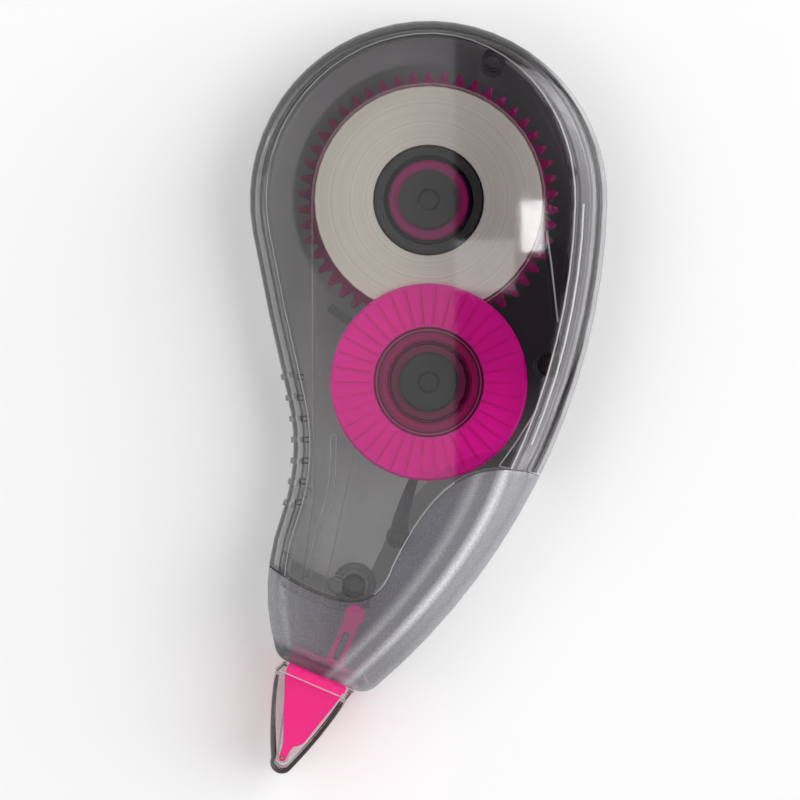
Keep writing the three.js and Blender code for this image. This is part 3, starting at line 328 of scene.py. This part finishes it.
def frosted_plastic(name, cover_front, shade_low, shade_high, lap_level):
    """Smoky plastic, matt and pearly outside, brightest along its right edge by a painted highlight, with a
    clear lap.
    """
    s = Shader(name)
    grain = s.bump(s.noise(2600, 3.0), 0.02 * MM, 0.5)
    fleck = s.stretch(s.noise(4200), 0.4, 0.7, 0.0, 1.0)
    shade = s.blend(s.patches(70, 0.0, 1.0, spread=0.2), shade_low, shade_high)
    shade = s.blend(s.times(fleck, 0.4), shade, colour(235, 235, 240))
    body = s.node("BsdfPrincipled", {"Base Color": shade, "Roughness": 0.5, "Normal": grain}).outputs[0]

    # Clear and darker in the mouth that the cap closes
    towards_mouth = s.stretch(s.along(slide_axis), 57.4 * MM, 58.4 * MM, 0.0, 1.0)
    mouth = s.times(towards_mouth, s.stretch(s.part("X"), -12 * MM, -10.5 * MM, 1.0, 0.0))
    bare_mouth = s.stretch(mouth, 0.0, 1.0, 1.0, 0.3)
    met_along = s.stretch(s.facing(), 0.3, 0.85, 0.0, 1.0)
    tint = s.blend(met_along, colour(236, 236, 238), colour(90, 90, 94))
    tint = s.dimmed(s.dimmed(tint, fleck, 0.93), mouth, 0.75)
    clear = s.node("BsdfTransparent", {"Color": tint}).outputs[0]
    cover = s.times(s.stretch(s.facing(), 0.05, 0.8, cover_front, 0.6), bare_mouth)

    # Pearl on top
    inputs = {"Color": colour(240, 240, 245), "Roughness": 0.3, "Normal": grain}
    pearl = s.node("BsdfGlossy", inputs).outputs[0]
    shine = s.math("ADD", s.stretch(s.facing(), 0.0, 0.2, 0.07, 0.14), s.times(fleck, 0.05))
    outside = s.mix(s.times(shine, bare_mouth), s.mix(cover, clear, body), pearl)
    # Painted highlight along the right edge
    outside = s.mix(pearl_painted_highlight(s), outside, s.pale(grain))

    # The lap under the clear shell, found by its level
    up = s.part("Z")
    above = s.stretch(up, lap_level - 0.5 * MM, lap_level - 0.45 * MM, 0.0, 1.0)
    below = s.stretch(up, lap_level + 0.45 * MM, lap_level + 0.5 * MM, 1.0, 0.0)
    lap = s.node("BsdfTransparent", {"Color": colour(253, 253, 253)}).outputs[0]
    return s.done(s.mix(s.times(s.lying(), above, below), outside, lap))


def pearl_painted_highlight(s):
    """The share of painted highlight on a pearly nose.

    It is greatest in a ridge along the right edge, which is bowed, and less beside it.
    """
    bow_middle = 45.5 * MM
    bow_depth = 12.2
    out_to_edge = (0.816, -0.578, 0)
    ridge_place = 29.0 * MM
    lesser_ridge_place = 26.4 * MM
    bow = s.math("POWER", s.math("ADD", s.part("Y"), bow_middle), 2.0)
    across = s.math("ADD", s.along(out_to_edge), s.times(bow, bow_depth))
    fading = s.stretch(s.part("Y"), -58 * MM, -50 * MM, 0.45, 0.88)
    ridge = s.times(s.hump(across, ridge_place, 1.2 * MM), fading)
    edge = s.times(s.stretch(across, 28.6 * MM, 30.0 * MM, 0.0, 0.29), fading)
    beside_ridge = s.times(s.hump(across, lesser_ridge_place, 1.3 * MM), 0.24)
    under_ridges = s.stretch(across, 25 * MM, 26.5 * MM, 0.0, 0.09)
    left = s.stretch(s.part("X"), -21 * MM, -11 * MM, 0.1, 0.0)
    grainy = s.patches(3800, 0.78, 1.2, spread=0.2)
    return s.times(s.most(ridge, edge, beside_ridge, under_ridges, left), grainy)


def neon_plastic(name):
    """Pink plastic with a little painted glow, deeper in colour where it stands in the nose."""
    s = Shader(name)
    inside = s.stretch(s.along(slide_axis), 59.3 * MM, 60.3 * MM, 1.0, 0.0)
    shade = s.blend(s.patches(120, 0.0, 0.3), colour(255, 40, 140), colour(255, 70, 150))
    shade = s.blend(inside, shade, colour(236, 0, 142))
    inputs = {
        "Base Color": shade,
        "Roughness": 0.3,
        "Normal": s.bump(s.noise(700), 0.01 * MM, 0.2),
        "Emission Color": shade,
        # Painted glow
        "Emission Strength": 0.24,
    }
    return s.done(s.node("BsdfPrincipled", inputs).outputs[0])


def tinted_plastic(name, solid, through, cover):
    """Coloured plastic that lets some light through in its own colour."""
    s = Shader(name)
    shade = s.blend(s.patches(120, 0.0, 0.25), solid, through)
    inputs = {"Base Color": shade, "Roughness": 0.25, "Normal": s.bump(s.noise(700), 0.01 * MM, 0.2)}
    body = s.node("BsdfPrincipled", inputs).outputs[0]
    clear = s.node("BsdfTransparent", {"Color": through}).outputs[0]
    return s.done(s.mix(s.stretch(s.facing(), 0.0, 0.9, cover, 1.0), clear, body))


def flange_plastic(name, axis):
    """Magenta plastic with fine dark lines of painted shade along its ribs, a middle with rings of painted
    shade and highlight, and a little painted glow.
    """
    s = Shader(name)
    reach = s.reach_from(axis)
    painted_recess_shade = colour(84, 0, 50)
    base = s.blend(s.patches(90, 0.0, 1.0), colour(246, 0, 160), colour(255, 4, 170))
    past_hub = s.stretch(reach, 7.0 * MM, 7.2 * MM, 0.0, 1.0)
    short_of_rim = s.stretch(reach, 11.7 * MM, 12.1 * MM, 1.0, 0.0)
    # Painted shade in fine lines along the ribs
    uneven = s.stretch(s.noise(130), 0.35, 0.6, 0.06, 0.45)
    lines = s.times(s.spokes(axis, rib_count, 0.12 * MM), past_hub, short_of_rim, uneven)
    base = s.blend(lines, base, colour(120, 0, 75))

    # The middle in painted shade and highlight, from outside in: a dark disc of shade in its recess, a pale
    # line of highlight, a lighter disc of lesser shade and a dark line of shade
    base = s.blend(s.stretch(reach, 6.75 * MM, 6.95 * MM, 1.0, 0.0), base, painted_recess_shade)
    base = s.blend(s.band(reach, 6.5 * MM, 0.1 * MM), base, colour(190, 60, 130))
    base = s.blend(s.stretch(reach, 6.1 * MM, 6.25 * MM, 1.0, 0.0), base, colour(165, 0, 95))
    base = s.blend(s.band(reach, 5.0 * MM, 0.12 * MM), base, painted_recess_shade)
    inputs = {
        "Base Color": base,
        "Roughness": 0.3,
        "Specular IOR Level": 0.25,
        "Normal": s.bump(s.noise(700), 0.01 * MM, 0.15),
        # Painted glow
        "Emission Color": base,
        "Emission Strength": 0.06,
    }
    return s.done(s.node("BsdfPrincipled", inputs).outputs[0])


def moulded_plastic(name, shade, roughness):
    """Opaque moulded plastic, a little uneven in colour and polish."""
    s = Shader(name)
    lighter = tuple(min(1, value * 1.25 + 0.004) for value in shade[:3]) + (1,)
    inputs = {
        "Base Color": s.blend(s.patches(150, 0.0, 1.0), shade, lighter),
        "Roughness": s.patches(400, roughness - 0.06, roughness + 0.06, spread=0.2),
        "Normal": s.bump(s.noise(1800), 0.01 * MM, 0.3),
    }
    return s.done(s.node("BsdfPrincipled", inputs).outputs[0])


def wound_film(name, axis, shade, darker, pitch):
    """The side of a wound roll: fine rings round its axis, with a few broader ones."""
    s = Shader(name)
    broad_rings = 700
    reach = s.reach_from(axis)
    fine = s.math("SINE", s.times(reach, 2 * math.pi / pitch))
    broad = s.node("TexNoise", {"W": s.times(reach, broad_rings), "Detail": 3.0}, noise_dimensions="1D")
    broad = s.stretch(broad.outputs[0], 0.35, 0.7, 0.0, 0.6)
    share = s.math("ADD", s.times(fine, 0.05), broad)
    inputs = {
        "Base Color": s.blend(share, shade, darker),
        "Roughness": 0.55,
        "Normal": s.bump(fine, 0.02 * MM, 0.15),
    }
    return s.done(s.node("BsdfPrincipled", inputs).outputs[0])


def film(name, shade, cover):
    """A single run of thin film: smooth, with faint marks across it, and a little see-through."""
    s = Shader(name)
    marks = s.noise(500)
    inputs = {
        "Base Color": s.blend(s.times(marks, 0.25), shade, colour(150, 146, 138)),
        "Roughness": 0.45,
        "Normal": s.bump(marks, 0.01 * MM, 0.3),
    }
    body = s.node("BsdfPrincipled", inputs).outputs[0]
    clear = s.node("BsdfTransparent", {"Color": white}).outputs[0]
    return s.done(s.mix(cover, clear, body))


def drawn_steel(name):
    """Drawn wire: bright, with fine lines along it."""
    s = Shader(name)
    stretched = s.node("Mapping", {"Vector": s.place(), "Scale": (1, 1, 0.05)}).outputs[0]
    inputs = {
        "Base Color": colour(190, 194, 198),
        "Metallic": 1.0,
        "Roughness": s.stretch(s.noise(9000, vector=stretched), 0.3, 0.7, 0.25, 0.4),
    }
    return s.done(s.node("BsdfPrincipled", inputs).outputs[0])


def painted_edge_highlight(name, shade, least, most):
    """A pale line of painted highlight along a moulded edge, strongest on the right side of the case."""
    s = Shader(name)
    towards_right = s.stretch(right_side(s), 0.0, 1.0, least, most)
    cover = s.times(towards_right, s.patches(150, 0.7, 1.0))
    body = s.node("BsdfPrincipled", {"Base Color": shade, "Roughness": 0.15}).outputs[0]
    clear = s.node("BsdfTransparent", {"Color": white}).outputs[0]
    return s.done(s.mix(cover, clear, body))


finishes = {
    "front_shell": smoky_plastic(
        "smoky_front", light_tint=colour(252, 252, 252), painted_shade_tint=colour(237, 235, 237),
        painted_shade_from=-4 * MM, haze=0.003, marks=front_painted_shade, gleam=front_gleam),
    "back_shell": smoky_plastic(
        "smoky_back", light_tint=colour(249, 249, 249), painted_shade_tint=colour(163, 157, 162),
        painted_shade_from=-34 * MM, haze=0.012, marks=back_painted_shade),
    "cap": thick_plastic("smoky_cap", colour(254, 253, 253), loss=80.0, haze=0.002),
    "front_nose_cover": frosted_plastic(
        "frosted_front", cover_front=0.08, shade_low=colour(140, 140, 145),
        shade_high=colour(150, 150, 155), lap_level=front_lap),
    "back_nose_cover": frosted_plastic(
        "frosted_back", cover_front=0.24, shade_low=colour(150, 150, 155),
        shade_high=colour(160, 160, 165), lap_level=no_lap),
    # Painted shade: the gear and the pinion are darker copies of the flange's magenta, the pinion darkest
    "supply_gear": tinted_plastic(
        "magenta_gear", solid=colour(168, 0, 106), through=colour(186, 12, 118), cover=0.9),
    "take_up_pinion": tinted_plastic(
        "magenta_pinion", solid=colour(140, 0, 78), through=colour(160, 10, 100), cover=0.92),
    "take_up_flange": flange_plastic("magenta_flange", take_up_axis),
    "supply_axle": moulded_plastic("axle_plastic", colour(40, 34, 38), roughness=0.35),
    "take_up_axle": moulded_plastic("axle_plastic_two", colour(38, 38, 38), roughness=0.35),
    "supply_core": moulded_plastic("core_plastic", colour(34, 30, 32), roughness=0.4),
    "clutch_ring": moulded_plastic("clutch_rubber", colour(40, 40, 42), roughness=0.75),
    "ratchet_pawl": moulded_plastic("pawl_plastic", colour(104, 104, 107), roughness=0.35),
    "tape_pack": wound_film(
        "wound_tape", supply_axis, shade=colour(240, 234, 221), darker=colour(216, 210, 196),
        pitch=0.36 * MM),
    "spent_tape_roll": wound_film(
        "wound_spent_tape", take_up_axis, shade=colour(225, 220, 210), darker=colour(190, 186, 178),
        pitch=0.3 * MM),
    "coated_tape": film("coated_film", colour(225, 222, 212), cover=0.3),
    "spent_tape": film("spent_film", colour(215, 213, 210), cover=0.25),
    "applicator_head": neon_plastic("pink_head"),
    "tip_roller": neon_plastic("pink_roller"),
    "tip_axle": drawn_steel("axle_wire"),
}

for node_name, finish in finishes.items():
    node = nodes[node_name]
    node.data.materials.clear()
    node.data.materials.append(finish)


def smoothing(name, degrees):
    """A group of nodes that shades a surface smooth wherever its faces meet at less than an angle."""
    group = bpy.data.node_groups.new(name, "GeometryNodeTree")
    group.interface.new_socket("Geometry", in_out="INPUT", socket_type="NodeSocketGeometry")
    group.interface.new_socket("Geometry", in_out="OUTPUT", socket_type="NodeSocketGeometry")
    start = group.nodes.new("NodeGroupInput")
    end = group.nodes.new("NodeGroupOutput")
    bare = group.nodes.new("GeometryNodeRemoveAttribute")
    bare.inputs["Name"].default_value = "custom_normal"
    faces = group.nodes.new("GeometryNodeSetShadeSmooth")
    faces.domain = "FACE"
    edges = group.nodes.new("GeometryNodeSetShadeSmooth")
    edges.domain = "EDGE"
    angle = group.nodes.new("GeometryNodeInputMeshEdgeAngle")
    flat = group.nodes.new("FunctionNodeCompare")
    flat.operation = "LESS_THAN"
    flat.inputs[1].default_value = math.radians(degrees)
    link = group.links.new
    link(start.outputs[0], bare.inputs["Geometry"])
    link(bare.outputs[0], faces.inputs["Geometry"])
    link(faces.outputs[0], edges.inputs["Geometry"])
    link(angle.outputs[0], flat.inputs[0])
    link(flat.outputs[0], edges.inputs["Shade Smooth"])
    link(edges.outputs[0], end.inputs[0])
    return group


def soften(node, group, bevel_width):
    """Joins a node's faces, breaks its sharp edges a little and shades its curves smooth."""
    weld = node.modifiers.new("weld", "WELD")
    weld.merge_threshold = same_point
    if bevel_width:
        bevel = node.modifiers.new("edge_break", "BEVEL")
        bevel.width = bevel_width
        bevel.segments = 2
        bevel.limit_method = "ANGLE"
        bevel.angle_limit = broken_from
        bevel.harden_normals = False
    smooth = node.modifiers.new("smooth", "NODES")
    smooth.node_group = group
    normals = node.modifiers.new("normals", "WEIGHTED_NORMAL")
    normals.keep_sharp = True


# Points this near are joined, and edges at least this sharp are broken
same_point = 0.002 * MM
broken_from = math.radians(50)

# The angle in degrees at which faces meet sharply, and how wide the broken edges are in millimetres
usual_sharp_angle = 30
sharp_angle = {"front_shell": 20, "back_shell": 20}
bevelled = {
    "back_shell": 0.08,
    "front_shell": 0.06,
    "front_nose_cover": 0.06,
    "tape_pack": 0.12,
    "supply_core": 0.08,
    "applicator_head": 0.08,
    "supply_gear": 0.06,
}
angles = sorted({usual_sharp_angle, *sharp_angle.values()})
smoothing_groups = {degrees: smoothing(f"smooth_{degrees}", degrees) for degrees in angles}
for node_name, node in nodes.items():
    group = smoothing_groups[sharp_angle.get(node_name, usual_sharp_angle)]
    soften(node, group, bevelled.get(node_name, 0) * MM)


def joined_mesh(node_name):
    """A node's mesh with its faces joined, to read edges from."""
    shape = bmesh.new()
    shape.from_mesh(nodes[node_name].data)
    bmesh.ops.remove_doubles(shape, verts=shape.verts, dist=same_point)
    return shape


def rim_runs(node_name, rounded):
    """The runs of points where a flat front face ends: in a rounded edge, or else in an upright one."""
    flat_within = 0.01 * MM
    steepest_rounding = 0.3
    shape = joined_mesh(node_name)
    level = max(vertex.co.z for vertex in shape.verts)
    on_top = {face for face in shape.faces if all(level - v.co.z < flat_within for v in face.verts)}
    edges = []
    for edge in shape.edges:
        inside = [face for face in edge.link_faces if face in on_top]
        outside = [face for face in edge.link_faces if face not in on_top]
        if len(inside) == 1 and outside and (outside[0].normal.z > steepest_rounding) == rounded:
            edges.append([vertex.co.copy() for vertex in edge.verts])
    shape.free()
    return joined_runs(edges)


def outlines_at(node_name, level):
    """The closed outlines of a node where a level plane cuts it, the longest first."""
    shape = joined_mesh(node_name)
    whole = shape.verts[:] + shape.edges[:] + shape.faces[:]
    cut = bmesh.ops.bisect_plane(shape, geom=whole, dist=0.0, plane_co=(0, 0, level), plane_no=(0, 0, 1))
    edges = [part for part in cut["geom_cut"] if isinstance(part, bmesh.types.BMEdge)]
    runs = joined_runs([[vertex.co.copy() for vertex in edge.verts] for edge in edges])
    shape.free()
    return sorted(runs, key=run_length, reverse=True)


def run_length(run):
    return sum((after - before).length for before, after in zip(run, run[1:]))


def shifted(run, middle, distance):
    """A run beside another one, away from a middle, or towards it for a distance below 0."""
    moved = []
    for index, place in enumerate(run):
        along = (run[min(index + 1, len(run) - 1)] - run[max(index - 1, 0)]).normalized()
        aside = Vector((-along.y, along.x, 0))
        if aside.dot(place - middle) < 0:
            aside = -aside
        moved.append(place + aside * distance)
    return moved


def at_level(run, level):
    return [Vector((place.x, place.y, level)) for place in run]


def joined_runs(edges):
    """Edges put end to end, as runs of points, without the shortest of them."""
    near = 0.005 * MM
    fewest_points = 5
    runs = []
    left = list(edges)
    while left:
        run = left.pop()
        grown = True
        while grown:
            grown = False
            for edge in left:
                for first, second in (edge, edge[::-1]):
                    if (first - run[-1]).length < near:
                        run = run + [second]
                        grown = True
                    elif (first - run[0]).length < near:
                        run = [second] + run
                        grown = True
                    if grown:
                        break
                if grown:
                    left.remove(edge)
                    break
        runs.append(run)
    return [run for run in runs if len(run) >= fewest_points]


def placed(name, data):
    """An object made of some data and put in the scene."""
    made = bpy.data.objects.new(name, data)
    bpy.context.scene.collection.objects.link(made)
    return made


def bead(name, runs, finish, body="case", radius=0.1, sink=0.0, widen=None):
    """A fine round bead along runs of points, on a body, and wider where widen says so.

    radius is half its thickness and sink is how far its middle is let in, both in millimetres.
    """
    data = bpy.data.curves.new(name, "CURVE")
    data.dimensions = "3D"
    data.bevel_depth = radius * MM
    data.bevel_resolution = 2
    for run in runs:
        spline = data.splines.new("POLY")
        spline.points.add(len(run) - 1)
        for point, place in zip(spline.points, run):
            point.radius = widen(place) if widen else 1.0
            point.co = (place.x, place.y, place.z - sink * MM * point.radius, 1)
    data.materials.append(finish)
    piece = placed(name, data)
    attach(piece, body)


def laid_on(node_name, run):
    """A run of points dropped onto a node from above."""
    data = nodes[node_name].data
    tree = BVHTree.FromPolygons([v.co for v in data.vertices], [tuple(p.vertices) for p in data.polygons])
    above = 20 * MM
    hits = [tree.ray_cast(Vector((place.x, place.y, above)), Vector((0, 0, -1)))[0] for place in run]
    return [hit for hit in hits if hit]


def parts_of(runs, keep):
    """The stretches of runs whose points pass a test."""
    parts = []
    for run in runs:
        parts.append([])
        for place in run:
            if keep(place):
                parts[-1].append(place)
            elif parts[-1]:
                parts.append([])
    return [part for part in parts if len(part) > 1]


def wider_right(place):
    """How much wider a crease's painted highlight is drawn towards the right side of the case."""
    rightness = (place.x - 4 * MM) / (8 * MM)
    return 1.0 + 0.8 * min(max(rightness, 0.0), 1.0)


# Pale finishes for lines of painted highlight
bright_line = painted_edge_highlight("crease_painted_highlight", colour(248, 248, 250), least=0.4, most=1.0)
pale_line = painted_edge_highlight("pale_painted_highlight", colour(236, 236, 240), least=0.8, most=1.0)
faint_line = painted_edge_highlight("faint_painted_highlight", colour(225, 226, 230), least=0.45, most=0.6)
# A dark finish for lines of painted shade
dark_line = moulded_plastic("edge_shade", colour(50, 49, 51), roughness=0.3)

# Painted highlight lines of the front shell: along its crease, a second one beside it on the right, and
# along its edge at the seam
case_middle = (supply_axis + take_up_axis) / 2
creases = rim_runs("front_shell", rounded=True)
bead("front_shell_crease", creases, bright_line, radius=0.065, sink=0.07, widen=wider_right)
beside = [laid_on("front_shell", shifted(run, case_middle, 1.05 * MM)) for run in creases]
beside = parts_of(beside, lambda place: place.x > 12 * MM and place.y < 1 * MM)
bead("front_shell_second_crease", beside, pale_line, radius=0.07, sink=0.03, widen=wider_right)
seam = rim_runs("front_shell", rounded=False)
seam = parts_of(seam, lambda place: -7.5 * MM < place.x < 4.5 * MM)
bead("front_shell_seam_edge", seam, pale_line, radius=0.06, sink=0.065)

# Low ribs on the inside of the front wall, at the right, drawn as pale lines of painted highlight
inside_front = 12.75 * MM
right_rib = [(14.6, -3.9), (15.2, -8.0), (16.0, -15.2)]
corner_ribs = [(13.2, -26.4), (10.8, -30.2), (8.7, -33.1), (10.4, -33.5)]
ribs = [[Vector((x * MM, y * MM, inside_front)) for x, y in rib] for rib in (right_rib, corner_ribs)]
bead("front_shell_inner_ribs", ribs, faint_line, radius=0.12, sink=0.04)


def is_divider(run):
    """Whether an outline is that of the wall between the two runs of tape."""
    beside_tape = all(-18 * MM < place.x < -10 * MM and place.y < -28 * MM for place in run)
    return beside_tape and run_length(run) > 20 * MM


# Painted highlight lines along the top edges of the wall between the two runs of tape
divider_top = 9.6 * MM
outlines = outlines_at("back_shell", divider_top - 0.5 * MM)
divider = [at_level(run, divider_top) for run in outlines if is_divider(run)]
bead("divider_edges", divider, faint_line, radius=0.1, sink=0.07)

# Painted shade at the roots of the grip's ribs, as dark marks inside the left wall: how far they reach from
# the crease, and half their width
grip_top = -22.03
grip_pitch = 2.6
grip_count = 7
root_level = 10.9 * MM
root_start = 0.1 * MM
root_end = 0.85 * MM
root_half = 0.3 * MM
left_crease = [place for run in creases for place in run if place.x < -10 * MM]
root_shades = []
for row in range(grip_count):
    middle = (grip_top - grip_pitch * row) * MM
    crease = min(left_crease, key=lambda place: abs(place.y - middle))
    inner, outer = crease.x - root_start, crease.x - root_end
    upper, lower = middle + root_half, middle - root_half
    corners = [(inner, upper), (outer, upper), (outer, lower), (inner, lower)]
    root_shades.append([Vector((x, y, root_level)) for x, y in corners])
bead("grip_rib_root_shades", root_shades, dark_line, radius=0.1)

# Places on the cap in millimetres, across it and along its slide from the axis of the supply reel
across_cap = Vector((-slide_axis.y, slide_axis.x, 0))
cap_front = 10.95
cap_back = 2.55
cap_mouth = 61.1
cap_tabs = [[(5.9, 61.2), (6.3, 60.2), (6.8, 60.2)], [(15.1, 61.1), (15.3, 60.2), (15.0, 60.2)]]


def on_cap(across, along, level):
    """A place given across the cap, along its slide and up, in millimetres."""
    return across_cap * across * MM + slide_axis * along * MM + Vector((0, 0, level * MM))


cap_middle = on_cap(10.6, 66, 11)


def way_round_cap(place):
    """The angle at which a place lies from the middle of the cap."""
    apart = place - cap_middle
    return math.atan2(apart.dot(across_cap), apart.dot(slide_axis))


def round_the_tip(run):
    """The points of the cap's outline in turn, from one end of its mouth round the tip to the other."""
    least_step = 0.3 * MM
    past_mouth = [place for place in run if place.dot(slide_axis) > cap_mouth * MM]
    past_mouth.sort(key=way_round_cap)
    kept = past_mouth[:1]
    for place in past_mouth:
        if (place - kept[-1]).length > least_step:
            kept.append(place)
    return kept


def wider_tip(place):
    """How much wider the line of painted shade is drawn on the right and at the tip of the cap."""
    rightness = (place - cap_middle).dot(across_cap) / (1.5 * MM)
    tipness = (place - cap_middle).dot(slide_axis) / (5 * MM)
    return 1.0 + 0.55 * min(max(rightness, tipness, 0.0), 1.0)


# Edges of the cap: painted shade in a dark line along its sides, round its tip and at its tabs, and a
# painted highlight in the pale line of its mouth
shade_inset = 0.3 * MM
cap_outline = round_the_tip([place for run in outlines_at("cap", 11.0 * MM) for place in run])
outline_middle = sum(cap_outline, Vector()) / len(cap_outline)
for name, level in (("cap_front_edge", cap_front), ("cap_back_edge", cap_back)):
    shade_line = at_level(shifted(cap_outline, outline_middle, -shade_inset), level * MM)
    bead(name, [shade_line], dark_line, "cap_body", radius=0.18, widen=wider_tip)
tabs = [[on_cap(across, along, cap_front) for across, along in tab] for tab in cap_tabs]
bead("cap_tab_edges", tabs, dark_line, "cap_body", radius=0.1)
mouth_edge = [on_cap(across, 61.05, 11.5) for across in (6.0, 15.0)]
bead("cap_mouth_edge", [mouth_edge], pale_line, "cap_body", radius=0.08, sink=0.09)


def white_floor():
    """A plain white floor that keeps the object's shadow, and glows a little where it is looked at."""
    s = Shader("floor_white")
    glow_level = 0.12
    shade = s.blend(s.times(s.noise(6), 0.1), colour(248, 248, 248), colour(242, 242, 242))
    matt = s.node("BsdfDiffuse", {"Color": shade}).outputs[0]
    glow = s.node("Emission", {"Color": white, "Strength": glow_level}).outputs[0]
    lit = s.node("AddShader", {0: matt, 1: glow}).outputs[0]
    path = s.node("LightPath").outputs
    seen = s.most(path["Is Camera Ray"], path["Is Glossy Ray"], path["Is Transmission Ray"])
    return s.done(s.mix(seen, matt, lit))


def make_floor():
    """The floor, a hair below the back face."""
    side = 4.0
    room = 0.05 * MM
    data = bpy.data.meshes.new("floor")
    shape = bmesh.new()
    bmesh.ops.create_grid(shape, x_segments=8, y_segments=8, size=side / 2)
    bmesh.ops.translate(shape, verts=shape.verts, vec=(0, 0, -room))
    shape.to_mesh(data)
    shape.free()
    data.materials.append(white_floor())
    floor = placed("floor", data)


def soft_lamp(name, centre, aim, width, height, radiance):
    """A softbox of the given size, whose face shines evenly."""
    data = bpy.data.lights.new(name, "AREA")
    data.shape = "RECTANGLE"
    data.size = width
    data.size_y = height
    data.energy = radiance * math.pi * width * height
    lamp = placed(name, data)
    lamp.location = centre
    lamp.rotation_euler = (Vector(aim) - Vector(centre)).to_track_quat("-Z", "Y").to_euler()


def overhead_lamp(name, x, y, width, height, radiance):
    """A softbox above the object that shines straight down."""
    lamp_level = 1.3
    soft_lamp(name, (x, y, lamp_level), (x, y, 0), width, height, radiance)


def studio_world():
    """A room that is dark overhead and paler towards its walls."""
    wall_level = 0.42
    world = bpy.data.worlds.new("studio")
    world.use_nodes = True
    tree = world.node_tree
    background = tree.nodes["Background"]
    place = tree.nodes.new("ShaderNodeTexCoord")
    split = tree.nodes.new("ShaderNodeSeparateXYZ")
    square = tree.nodes.new("ShaderNodeMath")
    square.operation = "POWER"
    square.inputs[1].default_value = 2.0
    level = tree.nodes.new("ShaderNodeMapRange")
    level.inputs["To Min"].default_value = wall_level
    level.inputs["To Max"].default_value = 0.0
    tree.links.new(place.outputs["Generated"], split.inputs[0])
    tree.links.new(split.outputs["Z"], square.inputs[0])
    tree.links.new(square.outputs[0], level.inputs["Value"])
    tree.links.new(level.outputs[0], background.inputs["Strength"])
    background.inputs["Color"].default_value = white
    bpy.context.scene.world = world


def light_scene():
    """Three softboxes, and three small cards that are mirrored in the flat front face."""
    overhead_lamp("key_softbox", -0.775, 0, width=1.25, height=1.8, radiance=1.15)
    overhead_lamp("veil_card", -0.062, 0.05, width=0.156, height=0.3, radiance=0.55)
    overhead_lamp("low_card", 0.0265, 0.023, width=0.021, height=0.018, radiance=1.6)
    overhead_lamp("window_card", 0.0435, 0.0369, width=0.0078, height=0.018, radiance=9.0)
    aim = (0, -0.02, 0)
    soft_lamp("right_softbox", (0.85, 0.2, 0.8), aim, width=1.3, height=1.6, radiance=2.1)
    soft_lamp("left_softbox", (-0.95, -0.1, 0.5), aim, width=0.6, height=1.2, radiance=0.5)
    studio_world()


def make_camera():
    """A camera with a long lens, straight above the object."""
    data = bpy.data.cameras.new("photo_camera")
    data.lens = lens_length
    data.sensor_width = sensor_width
    data.clip_end = 10
    camera = placed("photo_camera", data)
    camera.location = view_middle + Vector((0, 0, view_width * lens_length / sensor_width))
    bpy.context.scene.camera = camera


make_camera()
make_floor()
light_scene()
bpy.context.scene.view_settings.view_transform = "Standard"
